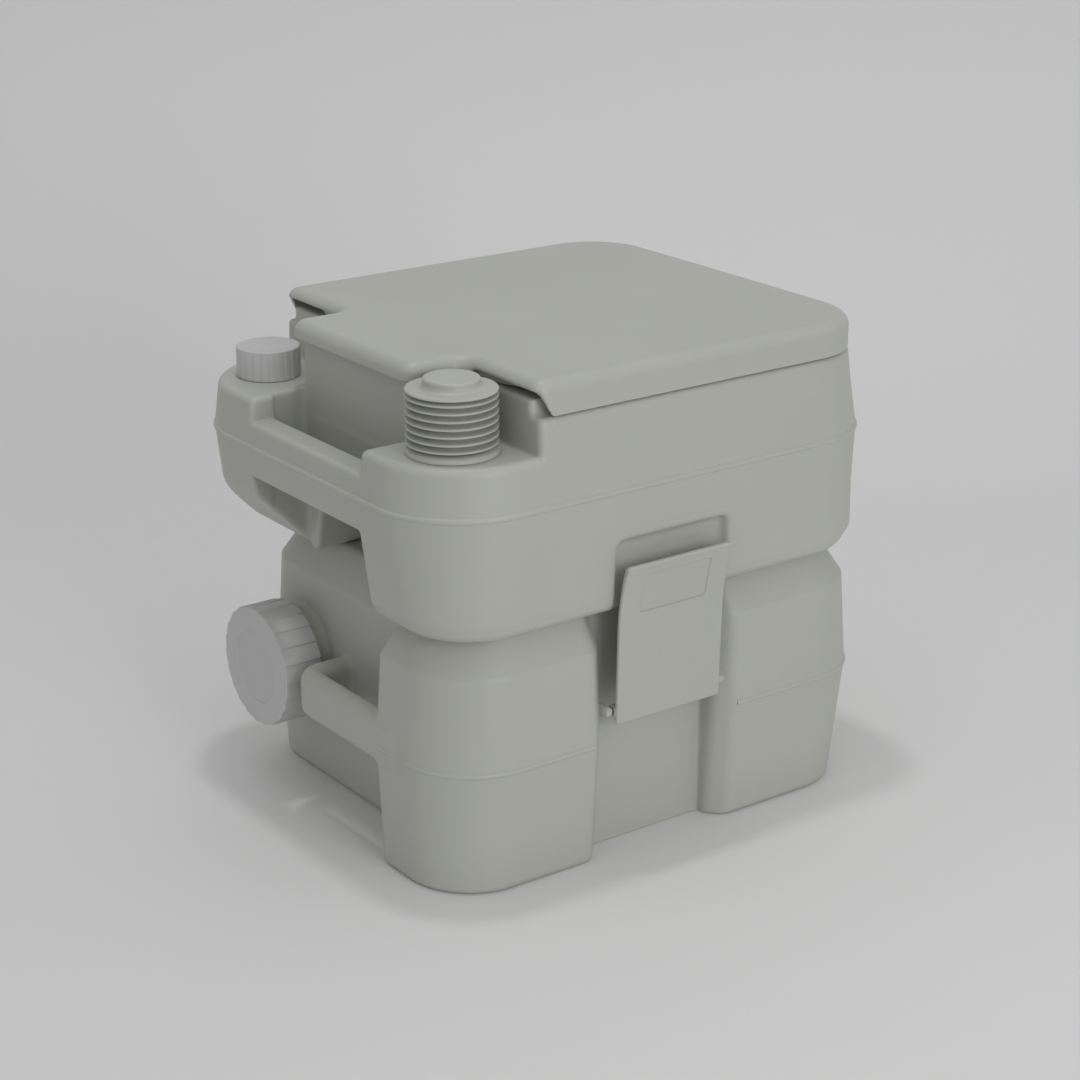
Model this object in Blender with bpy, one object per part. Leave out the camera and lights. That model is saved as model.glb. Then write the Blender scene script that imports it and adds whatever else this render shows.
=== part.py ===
"""Portable camp toilet: a fresh-water tank with bowl, seat and lid, latched onto a waste tank.

Frame: metres, +Z up, floor at z = 0, origin in the middle of the footprint. The user sits facing -Y.
The carrying handles, the pump, the filler and the drain spout are on the +Y side.
"""

import math

import bmesh
import bpy
from mathutils import Matrix, Vector

# ---- Fresh-water tank (upper unit) ----
HALF_LENGTH = 0.2075
HALF_WIDTH = 0.1714
UPPER_CORNER = 0.064
JOIN_Z = 0.1925
SEAM_Z = 0.284
DECK_Z = 0.3192
LEDGE_Z = 0.3455
RIM_Z = 0.357
RIM_SIDE_INSET = 0.0169
RIM_FRONT_INSET = 0.021
WALL = 0.003
BEAD = 0.0012
BEAD_HALF_HEIGHT = 0.0014
SMALLEST_CORNER = 0.002
RIM_CORNER = 0.048
RIM_EDGE = 0.002
RIM_ROOT_DEPTH = 0.030
BLOCK_CORNER = 0.008

# Upper carrying handle: a bar behind the hinge block, open from top to bottom
BAR_DEPTH = 0.0243
BAR_TOP_Z = 0.302
BAR_BOTTOM_Z = 0.2587
GRIP_GAP = 0.0272
GRIP_HALF = 0.0735
BLOCK_HALF = 0.0765
BLOCK_LENGTH = 0.0403
POCKET_X = 0.047
POCKET_DEPTH = 0.030
POCKET_TOP_Z = 0.243
SLOPE_START = 0.0575
SLOPE_RISE = 0.0547

# ---- Waste tank (lower unit) ----
LOWER_SIDE_INSET = 0.0025
LOWER_FRONT_INSET = 0.0061
LOWER_BACK_INSET = 0.0137
LOWER_CORNER = 0.057
LOWER_SEAM_Z = 0.095
SHOULDER_Z = 0.165
BACK_WALL_INSET = 0.0565
COLUMN_X = -0.072
COLUMN_CORNER = 0.014
COLUMN_OVERLAP = 0.069

# Lower carrying handle
HAND_BAR_THICK = 0.018
HAND_BAR_LOW_Z = 0.080
HAND_BAR_HIGH_Z = 0.117
HAND_BAR_CAP_GAP = 0.0050
HAND_BAR_BEND = 0.0220
HAND_BAR_STAND_OFF = 0.0006
HAND_BAR_EDGE_HEIGHT = 0.005
HAND_BAR_EDGE_INSET = 0.003
HAND_BAR_ROOT = 0.006
HAND_BAR_COLUMN_ROOT = 0.012

# ---- Drain spout and cap ----
DRAIN_X = 0.0970
DRAIN_Z = 0.098
DRAIN_NECK_R = 0.0395
DRAIN_BORE_R = 0.0345
DRAIN_NECK_LENGTH = 0.036
DRAIN_CAP_R = 0.0470
DRAIN_CAP_DEPTH = 0.0320
DRAIN_RIBS = 22
DRAIN_CAP_STAND_OFF = 0.0110
DRAIN_DISH_INNER_R = 0.0259
DRAIN_DISH_OUTER_R = 0.0291
DRAIN_DISH_DEPTH = 0.0008
DRAIN_NECK_ROOT = 0.010
DRAIN_BORE_START = 0.030

# ---- Filler neck and cap ----
FILLER_CAP_R = 0.0240
FILLER_CAP_HEIGHT = 0.0225
FILLER_NECK_R = 0.0190
FILLER_BORE_R = 0.0160
FILLER_SIDE_LAND = 0.0211
FILLER_WALL_LAND = 0.0203
FILLER_RIBS = 30

CAP_WALL = 0.0028
CAP_CHAMFER = 0.0018
RIB_DEPTH = 0.0010
# One rib as (share of its pitch, depth cut from the cap's radius)
RIB_PROFILE = ((0.0, RIB_DEPTH), (0.12, 0.0), (0.55, 0.0), (0.85, RIB_DEPTH))
GASKET_THICK = 0.0022

# ---- Bellows pump ----
PUMP_R = 0.0320
PUMP_SIDE_LAND = 0.0125
PUMP_WALL_LAND = 0.0073
PUMP_COLLAR_HEIGHT = 0.0045
PUMP_COLLAR_SPREAD = 0.0005
PUMP_COLLAR_EDGE = 0.0030
PUMP_COLLAR_TOP_INSET = 0.0012
PLEATS = 7
PLEAT_PITCH = 0.0054
PLEAT_DEPTH = 0.0050
BELLOWS_SKIN = 0.0016
PUMP_PLATE = 0.0022
PUMP_BUTTON_R = 0.0198
PUMP_BUTTON_HEIGHT = 0.0072
PUMP_SPIGOT_R = 0.0150
PUMP_SPIGOT_LENGTH = 0.024
PUMP_BORE_R = 0.0052
TUBE_R = 0.0045
TUBE_BORE_R = 0.0030
FOOT_R = 0.0085
FOOT_GAP = 0.0060
FOOT_BASE = 0.0035
FOOT_SLEEVE = 0.0080
FOOT_NOSE = 0.0120
FOOT_NOSE_WALL = 0.0016
TUBE_INSERTION = 0.010
FLUSH_PIPE_R = 0.0040
FLUSH_DEPTH = 0.0130

# ---- Bowl and flush ----
BOWL_HALF_X = 0.118
BOWL_EDGE_LAND = 0.0215
BOWL_SKIN = 0.0022
BOWL_FLANGE = 0.0100
OUTLET_R = 0.0425
OUTLET_Z = 0.1955
NOZZLE_X = -0.055
NOZZLE_Z = 0.338
NOZZLE_R = 0.0050
NOZZLE_REAR = 0.006
NOZZLE_REACH = 0.016
NOZZLE_SLIT_HALF = 0.0035
NOZZLE_SLIT_DEPTH = 0.005
RING_LOW = 0.0030
RING_HIGH = 0.0075

# ---- Slide valve ----
VALVE_Y = -0.030
VALVE_HALF_X = 0.060
VALVE_HALF_Y = 0.060
VALVE_POCKET = 0.0125
VALVE_HOLE_R = 0.0390
VALVE_TOP_GAP = 0.0010
BLADE_RISE = 0.0050
UPPER_SEAL_THICK = 0.0016
LOWER_SEAL_THICK = 0.0022
LOWER_SEAL_R = 0.0442
BLADE_HALF_X = 0.0470
BLADE_THICK = 0.0025
PULL_HALF_X = 0.042
PULL_HEIGHT = 0.020
PULL_DEPTH = 0.017
PULL_SET_BACK = 0.0175
PULL_OVER_BLADE = 0.0028
PULL_SIDE_WALL = 0.006
PULL_FRONT_WALL = 0.004
PULL_UNDER_BLADE = 0.0035
TONGUE_HALF_X = 0.022
TONGUE_INSERTION = 0.006
CHANNEL_DROP = 0.0015
FINGER_SIDE = 0.014
FINGER_BACK = 0.0205
FINGER_BELOW = 0.022
SCREW_INSET = 0.0065
SCREW_DEPTH = 0.0025
SCREW_HEAD_HEIGHT = 0.0017
SCREW_HEAD_SINK = 0.0002
SCREW_SLOT_HALF = 0.0022
SCREW_SLOT_HALF_WIDTH = 0.0005
SCREW_SLOT_DEPTH = 0.0010
SCREW_HEAD_R = 0.0036
SCREW_SHANK_R = 0.0018

# ---- Seat, lid and hinge ----
LID_SIDE_INSET = 0.0060
LID_FRONT_INSET = 0.0155
LID_SKIRT_Z = 0.3459
LID_BACK_SKIRT_Z = 0.3585
LID_SEAT_GAP = 0.0018
LID_SKIN = 0.0025
TONGUE_HALF = 0.0790
TONGUE_OVERHANG = 0.0088
LID_CORNER = 0.052
LID_BACK_EDGE_SHARE = 1 / 3
NOTCH_GAP = 0.0020
SEAT_THICK = 0.0092
SEAT_GAP = 0.0010
SEAT_EDGE_INSET = 0.0045
SEAT_HOLE_HALF_X = 0.098
SEAT_HOLE_LAND = 0.040
SEAT_BACK_GAP = 0.004
SEAT_TAIL_GAP = 0.007
SEAT_TAIL_OVERLAP = 0.006
SEAT_CORNER = 0.044
SEAT_BACK_CORNER = 0.012
SEAT_EDGE = 0.003
HINGE_BACK = 0.0015
HINGE_Z = 0.362
KNUCKLE_R = 0.0033
HINGE_PIN_R = 0.0015
KNUCKLE_LENGTH = 0.0110
KNUCKLE_START = 0.0340
KNUCKLE_GAP = 0.0005
SEAT_WEB_HALF = 0.0030
LID_WEB_HALF = 0.0025
LUG_GAP = 0.0020
LUG_LENGTH = 0.0077
LUG_ARM = 0.0180
LUG_FOOT_GAP = 0.0046
LUG_ROOT = 0.006
PIN_OVERHANG = 0.0010
PIN_INNER_OVERHANG = 0.0015
HINGE_RELIEF = 0.0040
BUMPER_R = 0.0050
BUMPER_DEPTH = 0.0030
LID_BUMPER_DEPTH = 0.0010
SEAT_BUMPER_INSET = 0.016
SEAT_BUMPER_FRONT = 0.055
SEAT_BUMPER_BACK = 0.035
LID_BUMPER_OUT = 0.022
LID_BUMPER_FRONT = 0.075

# ---- Side latches ----
LATCH_Y = 0.0035
LATCH_HALF_Y = 0.0475
LATCH_BOTTOM_Z = 0.107
LATCH_TOP_Z = 0.2300
LATCH_THICK = 0.0032
LATCH_FLARE = 0.0125
LATCH_LEAN = 0.0035
LATCH_BEND_LENGTH = 0.050
LATCH_BARREL_OVERLAP = 0.0008
LATCH_PIN_END_GAP = 0.0018
LATCH_BORE_END_GAP = 0.0012
LATCH_LUG_HALF = 0.008
LATCH_STANDOFF = 0.0004
LATCH_PIVOT_Z = 0.1165
LATCH_BARREL_R = 0.0042
LATCH_PIN_R = 0.0019
LATCH_RECESS_MARGIN = 0.0050
LOWER_RECESS_DEPTH = 0.0285
UPPER_RECESS_DEPTH = 0.0105
UPPER_RECESS_TOP_Z = 0.2455
HOOK_Z = 0.2120
HOOK_THICK = 0.0040
HOOK_HALF_Y = 0.030
HOOK_BITE = 0.0055
LABEL_HALF_Y = 0.030
LABEL_HEIGHT = 0.026
LABEL_DEPTH = 0.0010
LABEL_TOP_LAND = 0.008
LABEL_STEPS = 6
# Heights of the latch's rings, as shares of its height
LATCH_LEVEL_SHARES = (0, 0.3, 0.55, 0.64, 0.72, 0.79, 0.86, 0.93, 1)

# ---- Fits ----
TOUCH_GAP = 0.0003
SLIDE_GAP = 0.0005
PIN_GAP = 0.0003
BOWL_GAP = 0.0015
HOOK_GAP = 0.0012
HOOK_END_GAP = 0.0015
HOOK_SIDE_GAP = 0.0020

# ---- Places that follow from the sizes above ----
LOWER_HALF_WIDTH = HALF_WIDTH - LOWER_SIDE_INSET
LOWER_FRONT = HALF_LENGTH - LOWER_FRONT_INSET
LOWER_BACK = HALF_LENGTH - LOWER_BACK_INSET
BACK_WALL_Y = HALF_LENGTH - BACK_WALL_INSET
HAND_BAR_END_X = DRAIN_X - DRAIN_CAP_R - HAND_BAR_CAP_GAP
BAR_INNER_Y = HALF_LENGTH - BAR_DEPTH
BLOCK_Y = BAR_INNER_Y - GRIP_GAP
NOTCH_Y = BLOCK_Y - BLOCK_LENGTH
RIM_FRONT = HALF_LENGTH - RIM_FRONT_INSET
RIM_HALF = HALF_WIDTH - RIM_SIDE_INSET
BOWL_FRONT = RIM_FRONT - BOWL_EDGE_LAND
BOWL_BACK = NOTCH_Y - BOWL_EDGE_LAND
BOWL_Y = (BOWL_BACK - BOWL_FRONT) / 2
BOWL_HALF_Y = (BOWL_BACK + BOWL_FRONT) / 2
PUMP_X = -(GRIP_HALF + PUMP_SIDE_LAND + PUMP_R)
PUMP_Y = NOTCH_Y + PUMP_WALL_LAND + PUMP_R
FILLER_X = GRIP_HALF + FILLER_SIDE_LAND + FILLER_CAP_R
FILLER_Y = NOTCH_Y + FILLER_WALL_LAND + FILLER_CAP_R
HINGE_Y = BLOCK_Y + HINGE_BACK
LOWER_TOP_Z = JOIN_Z
UPPER_BOTTOM_Z = JOIN_Z + TOUCH_GAP
VALVE_FLOOR_Z = LOWER_TOP_Z - VALVE_POCKET
BLADE_Z = VALVE_FLOOR_Z + BLADE_RISE
LOWER_RECESS_X = LOWER_HALF_WIDTH - LOWER_RECESS_DEPTH
LATCH_FACE_X = LOWER_HALF_WIDTH + LATCH_STANDOFF
LATCH_PIVOT_X = LATCH_FACE_X - LATCH_THICK - LATCH_BARREL_R + LATCH_BARREL_OVERLAP
DRAIN_CAP_BACK_Y = BACK_WALL_Y + DRAIN_CAP_STAND_OFF
BELLOWS_LOW_Z = DECK_Z + TOUCH_GAP + PUMP_COLLAR_HEIGHT + TOUCH_GAP
BELLOWS_HIGH_Z = BELLOWS_LOW_Z + PLEATS * PLEAT_PITCH
SEAT_LOW_Z = RIM_Z + SEAT_GAP
SEAT_HIGH_Z = SEAT_LOW_Z + SEAT_THICK
LID_CEILING_Z = SEAT_HIGH_Z + LID_SEAT_GAP
LID_TOP_Z = LID_CEILING_Z + LID_SKIN
PULL_BACK_Y = -LOWER_FRONT + PULL_SET_BACK + PULL_DEPTH
PULL_FRONT_Y = PULL_BACK_Y - PULL_DEPTH

# Lengths that cutters run past the faces they cut
OVERRUN = 0.02
SHORT_OVERRUN = 0.01
FAR = 0.6

# Wall levels as (height, side inset, front inset, back inset) from the widest outline
UPPER_LEVELS = (
    (UPPER_BOTTOM_Z, 0.0100, 0.0120, 0.0195),
    (0.2010, 0.0055, 0.0072, 0.0125),
    (SEAM_Z - 2 * BEAD_HALF_HEIGHT, 0.0002, 0.0002, 0.0002),
    (SEAM_Z - BEAD_HALF_HEIGHT, -BEAD, -BEAD, -BEAD),
    (SEAM_Z + BEAD_HALF_HEIGHT, -BEAD, -BEAD, -BEAD),
    (SEAM_Z + 2 * BEAD_HALF_HEIGHT, 0.0002, 0.0002, 0.0002),
    (DECK_Z, 0.0038, 0.0050, 0.0038),
    (LEDGE_Z, 0.0052, 0.0095, 0.0052),
)
LOWER_LEVELS = (
    (0.0, 0.0115, 0.0165, 0.0125),
    (0.0070, 0.0062, 0.0105, 0.0072),
    (LOWER_SEAM_Z - 2 * BEAD_HALF_HEIGHT, 0.0002, 0.0002, 0.0002),
    (LOWER_SEAM_Z - BEAD_HALF_HEIGHT, -BEAD, -BEAD, -BEAD),
    (LOWER_SEAM_Z + BEAD_HALF_HEIGHT, -BEAD, -BEAD, -BEAD),
    (LOWER_SEAM_Z + 2 * BEAD_HALF_HEIGHT, 0.0002, 0.0002, 0.0002),
    (SHOULDER_Z, 0.0040, 0.0045, 0.0055),
    (LOWER_TOP_Z, 0.0200, 0.0205, 0.0215),
)
# Bowl wall as (height, share of the way from the outlet's radius to the rim's half sizes)
BOWL_LEVELS = ((OUTLET_Z, 0.0), (0.206, 0.0), (0.222, 0.22), (0.262, 0.68), (0.318, 0.95))
# Lid's side as (height, inset)
LID_LEVELS = (
    (LID_SKIRT_Z, 0.0),
    (LID_TOP_Z - 0.0115, 0.0008),
    (LID_TOP_Z - 0.0050, 0.0034),
    (LID_TOP_Z - 0.0015, 0.0080),
    (LID_TOP_Z, 0.0150),
)


# ---- Mesh helpers ----
def rounded(x0, x1, y0, y1, radii, z, steps=5):
    """Rounded rectangle at height z, anticlockwise, with a radius for each corner."""
    corners = ((x1, y1, -1, -1), (x0, y1, 1, -1), (x0, y0, 1, 1), (x1, y0, -1, 1))
    points = []
    for turn, (x, y, to_x, to_y) in enumerate(corners):
        radius = radii[turn]
        for step in range(steps + 1):
            angle = (turn + step / steps) * math.pi / 2
            points.append(
                Vector((
                    x + to_x * radius + radius * math.cos(angle),
                    y + to_y * radius + radius * math.sin(angle),
                    z,
                ))
            )
    return points


def ring(x, y, radius, z, count=28, half_y=None):
    """Circle, or ellipse where half_y is given, at height z."""
    half_y = radius if half_y is None else half_y
    angles = [2 * math.pi * i / count for i in range(count)]
    return [Vector((x + radius * math.cos(a), y + half_y * math.sin(a), z)) for a in angles]


def oval_facing(outline, x, y, half_x, half_y, z):
    """Ellipse with one point for each point of the outline, in the same direction from its centre."""
    angles = [math.atan2((p.y - y) / half_y, (p.x - x) / half_x) for p in outline]
    return [Vector((x + half_x * math.cos(a), y + half_y * math.sin(a), z)) for a in angles]


def ribbed(radius, ribs, z):
    """Cap outline whose ribs rise slowly and fall off sharply."""
    points = []
    for rib in range(ribs):
        for share, depth in RIB_PROFILE:
            angle = 2 * math.pi * (rib + share) / ribs
            reach = radius - depth
            points.append(Vector((reach * math.cos(angle), reach * math.sin(angle), z)))
    return points


def new_object(name, bm, finish=None):
    bmesh.ops.recalc_face_normals(bm, faces=bm.faces)
    mesh = bpy.data.meshes.new(name)
    bm.to_mesh(mesh)
    bm.free()
    obj = bpy.data.objects.new(name, mesh)
    bpy.context.scene.collection.objects.link(obj)
    if finish is None:
        obj.hide_render = True
        obj.display_type = "WIRE"
        return obj
    mesh.materials.append(finish)
    mesh.shade_smooth()
    mesh.set_sharp_from_angle(angle=math.radians(30))
    return obj


def loft(name, outlines, finish=None, tube=False):
    """Skin over equal-length outlines from bottom to top. A tube joins its last outline to its first."""
    bm = bmesh.new()
    rings = [[bm.verts.new(point) for point in outline] for outline in outlines]
    pairs = list(zip(rings, rings[1:]))
    if tube:
        pairs.append((rings[-1], rings[0]))
    for low, high in pairs:
        for i in range(len(low)):
            j = (i + 1) % len(low)
            bm.faces.new((low[i], low[j], high[j], high[i]))
    if not tube:
        bm.faces.new(reversed(rings[0]))
        bm.faces.new(rings[-1])
    return new_object(name, bm, finish)


def box(name, x0, x1, y0, y1, z0, z1, finish=None):
    bm = bmesh.new()
    centre = Vector(((x0 + x1) / 2, (y0 + y1) / 2, (z0 + z1) / 2))
    scale = Matrix.Diagonal((x1 - x0, y1 - y0, z1 - z0, 1))
    bmesh.ops.create_cube(bm, size=1, matrix=Matrix.Translation(centre) @ scale)
    return new_object(name, bm, finish)


def prism(name, points, x0, x1, finish=None):
    """Outline of (y, z) points swept along X from x0 to x1."""
    bm = bmesh.new()
    face = bm.faces.new([bm.verts.new((x0, y, z)) for y, z in points])
    swept = bmesh.ops.extrude_face_region(bm, geom=[face])["geom"]
    bmesh.ops.translate(
        bm, vec=(x1 - x0, 0, 0), verts=[v for v in swept if isinstance(v, bmesh.types.BMVert)]
    )
    return new_object(name, bm, finish)


def rod(name, start, end, radius, finish=None, count=20):
    """Round rod between two points."""
    start, end = Vector(start), Vector(end)
    along = end - start
    turn = Vector((0, 0, 1)).rotation_difference(along).to_matrix().to_4x4()
    place = Matrix.Translation((start + end) / 2) @ turn
    bm = bmesh.new()
    bmesh.ops.create_cone(
        bm, cap_ends=True, segments=count, radius1=radius, radius2=radius, depth=along.length, matrix=place
    )
    return new_object(name, bm, finish)


def upright(name, x, y, z0, z1, radius, finish=None, count=20):
    """Round rod along Z."""
    return rod(name, (x, y, z0), (x, y, z1), radius, finish, count)


def washer(name, x, y, inner, outer, z0, z1, finish=None, count=28):
    outlines = [
        ring(x, y, outer, z0, count),
        ring(x, y, outer, z1, count),
        ring(x, y, inner, z1, count),
        ring(x, y, inner, z0, count),
    ]
    return loft(name, outlines, finish, tube=True)


def combine(obj, other, operation="DIFFERENCE"):
    modifier = obj.modifiers.new(other.name[:40], "BOOLEAN")
    modifier.operation = operation
    modifier.object = other
    modifier.solver = "EXACT"


def cut(obj, *others):
    for other in others:
        combine(obj, other)


def add(obj, *others):
    for other in others:
        combine(obj, other, "UNION")


def finish_of(name, colour, roughness, metallic=0.0):
    material = bpy.data.materials.new(name)
    material.use_nodes = True
    shader = material.node_tree.nodes["Principled BSDF"]
    shader.inputs["Base Color"].default_value = (*colour, 1)
    shader.inputs["Roughness"].default_value = roughness
    shader.inputs["Metallic"].default_value = metallic
    return material


def turn_to_back(obj, x, y, z):
    """Stands a piece made along +Z on the back wall, pointing along +Y."""
    obj.location = (x, y, z)
    obj.rotation_euler = (-math.pi / 2, 0, 0)
    return obj


# ---- Tank walls ----
def walls(name, levels, x0, x1, y0, y1, radii, inset=0.0, finish=None):
    """Drafted tank wall. An inset gives the hollow inside it, which leaves out the seam bead."""
    outlines = []
    for index, (z, side, front, back) in enumerate(levels):
        if inset:
            side, front, back = (max(value, 0.0) + inset for value in (side, front, back))
            z += inset * ((index == 0) - (index == len(levels) - 1))
        fitted = [max(radius - side, SMALLEST_CORNER) for radius in radii]
        outlines.append(rounded(x0 + side, x1 - side, y0 + front, y1 - back, fitted, z))
    return loft(name, outlines, finish)


def upper_openings(name, grow):
    """Cutters for the notches, the handle and the recesses. Growing them by the wall shapes the hollow."""
    boxes = (
        (-FAR, -BLOCK_HALF, NOTCH_Y, FAR, DECK_Z, FAR),
        (BLOCK_HALF, FAR, NOTCH_Y, FAR, DECK_Z, FAR),
        (-FAR, FAR, BLOCK_Y, FAR, DECK_Z, FAR),
        (-GRIP_HALF, GRIP_HALF, BLOCK_Y, BAR_INNER_Y, 0, FAR),
        (-GRIP_HALF, GRIP_HALF, BLOCK_Y, FAR, BAR_TOP_Z, FAR),
        (-GRIP_HALF, GRIP_HALF, BLOCK_Y, FAR, 0, BAR_BOTTOM_Z),
        (-GRIP_HALF, POCKET_X, BLOCK_Y - POCKET_DEPTH, BLOCK_Y + WALL, 0, POCKET_TOP_Z),
    )
    cutters = []
    for index, (x0, x1, y0, y1, z0, z1) in enumerate(boxes):
        sides = (x0 - grow, x1 + grow, y0 - grow, y1 + grow, z0 - grow, z1 + grow)
        cutters.append(box(f"{name}_opening_{index}", *sides))
    recess_x = HALF_WIDTH - UPPER_RECESS_DEPTH - grow
    half_y = LATCH_HALF_Y + LATCH_RECESS_MARGIN + grow
    hook_x = recess_x - HOOK_BITE - HOOK_END_GAP
    hook_half_y = HOOK_HALF_Y + HOOK_SIDE_GAP + grow
    hook_low_z = HOOK_Z - HOOK_GAP - grow
    hook_high_z = HOOK_Z + HOOK_THICK + 2 * HOOK_GAP + grow
    for side in (-1, 1):
        x0, x1 = sorted((side * FAR, side * recess_x))
        top = UPPER_RECESS_TOP_Z + grow
        cutters.append(box(f"{name}_recess", x0, x1, LATCH_Y - half_y, LATCH_Y + half_y, 0, top))
        x0, x1 = sorted((side * FAR, side * hook_x))
        y0, y1 = LATCH_Y - hook_half_y, LATCH_Y + hook_half_y
        cutters.append(box(f"{name}_hook_slot", x0, x1, y0, y1, hook_low_z, hook_high_z))
    slope = SLOPE_RISE / SLOPE_START
    start_y = HALF_LENGTH - SLOPE_START - grow * math.hypot(1, slope) / slope
    points = (
        (start_y - OVERRUN, UPPER_BOTTOM_Z - OVERRUN * slope),
        (FAR, UPPER_BOTTOM_Z + (FAR - start_y) * slope),
        (FAR, 0),
        (start_y - OVERRUN, 0),
    )
    cutters.append(prism(f"{name}_slope", points, GRIP_HALF - grow, FAR))
    return cutters


def bowl_outlines(grow):
    """Rings of the bowl's outer wall, grown outwards, from the outlet up to the rim."""
    outlines = []
    for z, share in (*BOWL_LEVELS, (RIM_Z, 1.0)):
        half_x = OUTLET_R + share * (BOWL_HALF_X - OUTLET_R) + grow
        half_y = OUTLET_R + share * (BOWL_HALF_Y - OUTLET_R) + grow
        y = VALVE_Y + share * (BOWL_Y - VALVE_Y)
        outlines.append(ring(0, y, half_x, z, 40, half_y))
    return outlines


def well(name, grow):
    """Opening for the bowl, run past the bottom and the top of the tank."""
    outlines = bowl_outlines(grow)
    below = [Vector((p.x, p.y, UPPER_BOTTOM_Z - OVERRUN)) for p in outlines[0]]
    above = [Vector((p.x, p.y, RIM_Z + OVERRUN)) for p in outlines[-1]]
    return loft(name, [below, *outlines, above])


def flange_seat(name, grow):
    """Rebate in the rim that takes the bowl's flange."""
    reach = BOWL_FLANGE + BOWL_GAP + grow
    low = RIM_Z - BOWL_SKIN - 2 * TOUCH_GAP - grow
    half_x, half_y = BOWL_HALF_X + reach, BOWL_HALF_Y + reach
    return loft(name, [ring(0, BOWL_Y, half_x, z, 40, half_y) for z in (low, RIM_Z + OVERRUN)])


def fresh_tank(plastic):
    bounds = (-HALF_WIDTH, HALF_WIDTH, -HALF_LENGTH, HALF_LENGTH)
    radii = (UPPER_CORNER,) * 4
    rim_bounds = (-RIM_HALF, RIM_HALF, -RIM_FRONT, BLOCK_Y)
    rim_radii = (BLOCK_CORNER, BLOCK_CORNER, RIM_CORNER, RIM_CORNER)
    rim_levels = (
        (DECK_Z - RIM_ROOT_DEPTH, 0, 0, 0),
        (RIM_Z - RIM_EDGE, 0, 0, 0),
        (RIM_Z, RIM_EDGE, RIM_EDGE, RIM_EDGE),
    )

    hollow = walls("fresh_hollow", UPPER_LEVELS, *bounds, radii, WALL)
    add(hollow, walls("rim_hollow", rim_levels, *rim_bounds, rim_radii, WALL))
    cut(hollow, *upper_openings("hollow", WALL), well("hollow_well", BOWL_GAP + WALL))
    cut(hollow, flange_seat("hollow_rebate", WALL), hinge_relief("hollow_relief", WALL))

    tank = walls("fresh_tank", UPPER_LEVELS, *bounds, radii, finish=plastic)
    add(tank, walls("rim", rim_levels, *rim_bounds, rim_radii))
    cut(tank, *upper_openings("tank", 0.0), hinge_relief("relief", 0.0), hollow)
    cut(tank, well("tank_well", BOWL_GAP), flange_seat("rebate", 0.0))

    neck_high = DECK_Z + FILLER_CAP_HEIGHT - CAP_WALL - GASKET_THICK - 2 * TOUCH_GAP
    add(tank, upright("filler_neck", FILLER_X, FILLER_Y, DECK_Z - WALL, neck_high, FILLER_NECK_R))
    hole_low = DECK_Z - SHORT_OVERRUN
    cut(tank, upright("filler_bore", FILLER_X, FILLER_Y, hole_low, FAR, FILLER_BORE_R))
    cut(tank, upright("pump_hole", PUMP_X, PUMP_Y, hole_low, FAR, PUMP_SPIGOT_R + SLIDE_GAP))
    nozzle_line = ((NOZZLE_X, BOWL_Y, NOZZLE_Z), (NOZZLE_X, NOTCH_Y - WALL, NOZZLE_Z))
    cut(tank, rod("nozzle_hole", *nozzle_line, NOZZLE_R + SLIDE_GAP))
    for side in (-1, 1):
        first = side * (KNUCKLE_START + 2 * KNUCKLE_LENGTH + LUG_GAP)
        add(tank, *hinge_lug(f"lug_{side}", *sorted((first, first + side * LUG_LENGTH))))
    cut(tank, pin_bore("hinge_bore"))
    return tank


def hinge_relief(name, grow):
    """Step along the block's top edge that the lid's back skirt swings through."""
    reach = HINGE_RELIEF + grow
    return box(name, -FAR, FAR, BLOCK_Y - reach, FAR, RIM_Z - reach, FAR)


def hinge_lug(name, x0, x1):
    """Arm, foot and eye that carry the outer end of a hinge pin."""
    arm_y = HINGE_Y - LUG_ARM
    arm_low = HINGE_Z - KNUCKLE_R + TOUCH_GAP
    arm = box(f"{name}_arm", x0, x1, arm_y, HINGE_Y, arm_low, HINGE_Z + KNUCKLE_R)
    foot = box(f"{name}_foot", x0, x1, arm_y, BLOCK_Y - LUG_FOOT_GAP, RIM_Z - LUG_ROOT, HINGE_Z)
    eye = rod(f"{name}_eye", (x0, HINGE_Y, HINGE_Z), (x1, HINGE_Y, HINGE_Z), KNUCKLE_R)
    return arm, foot, eye


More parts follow.
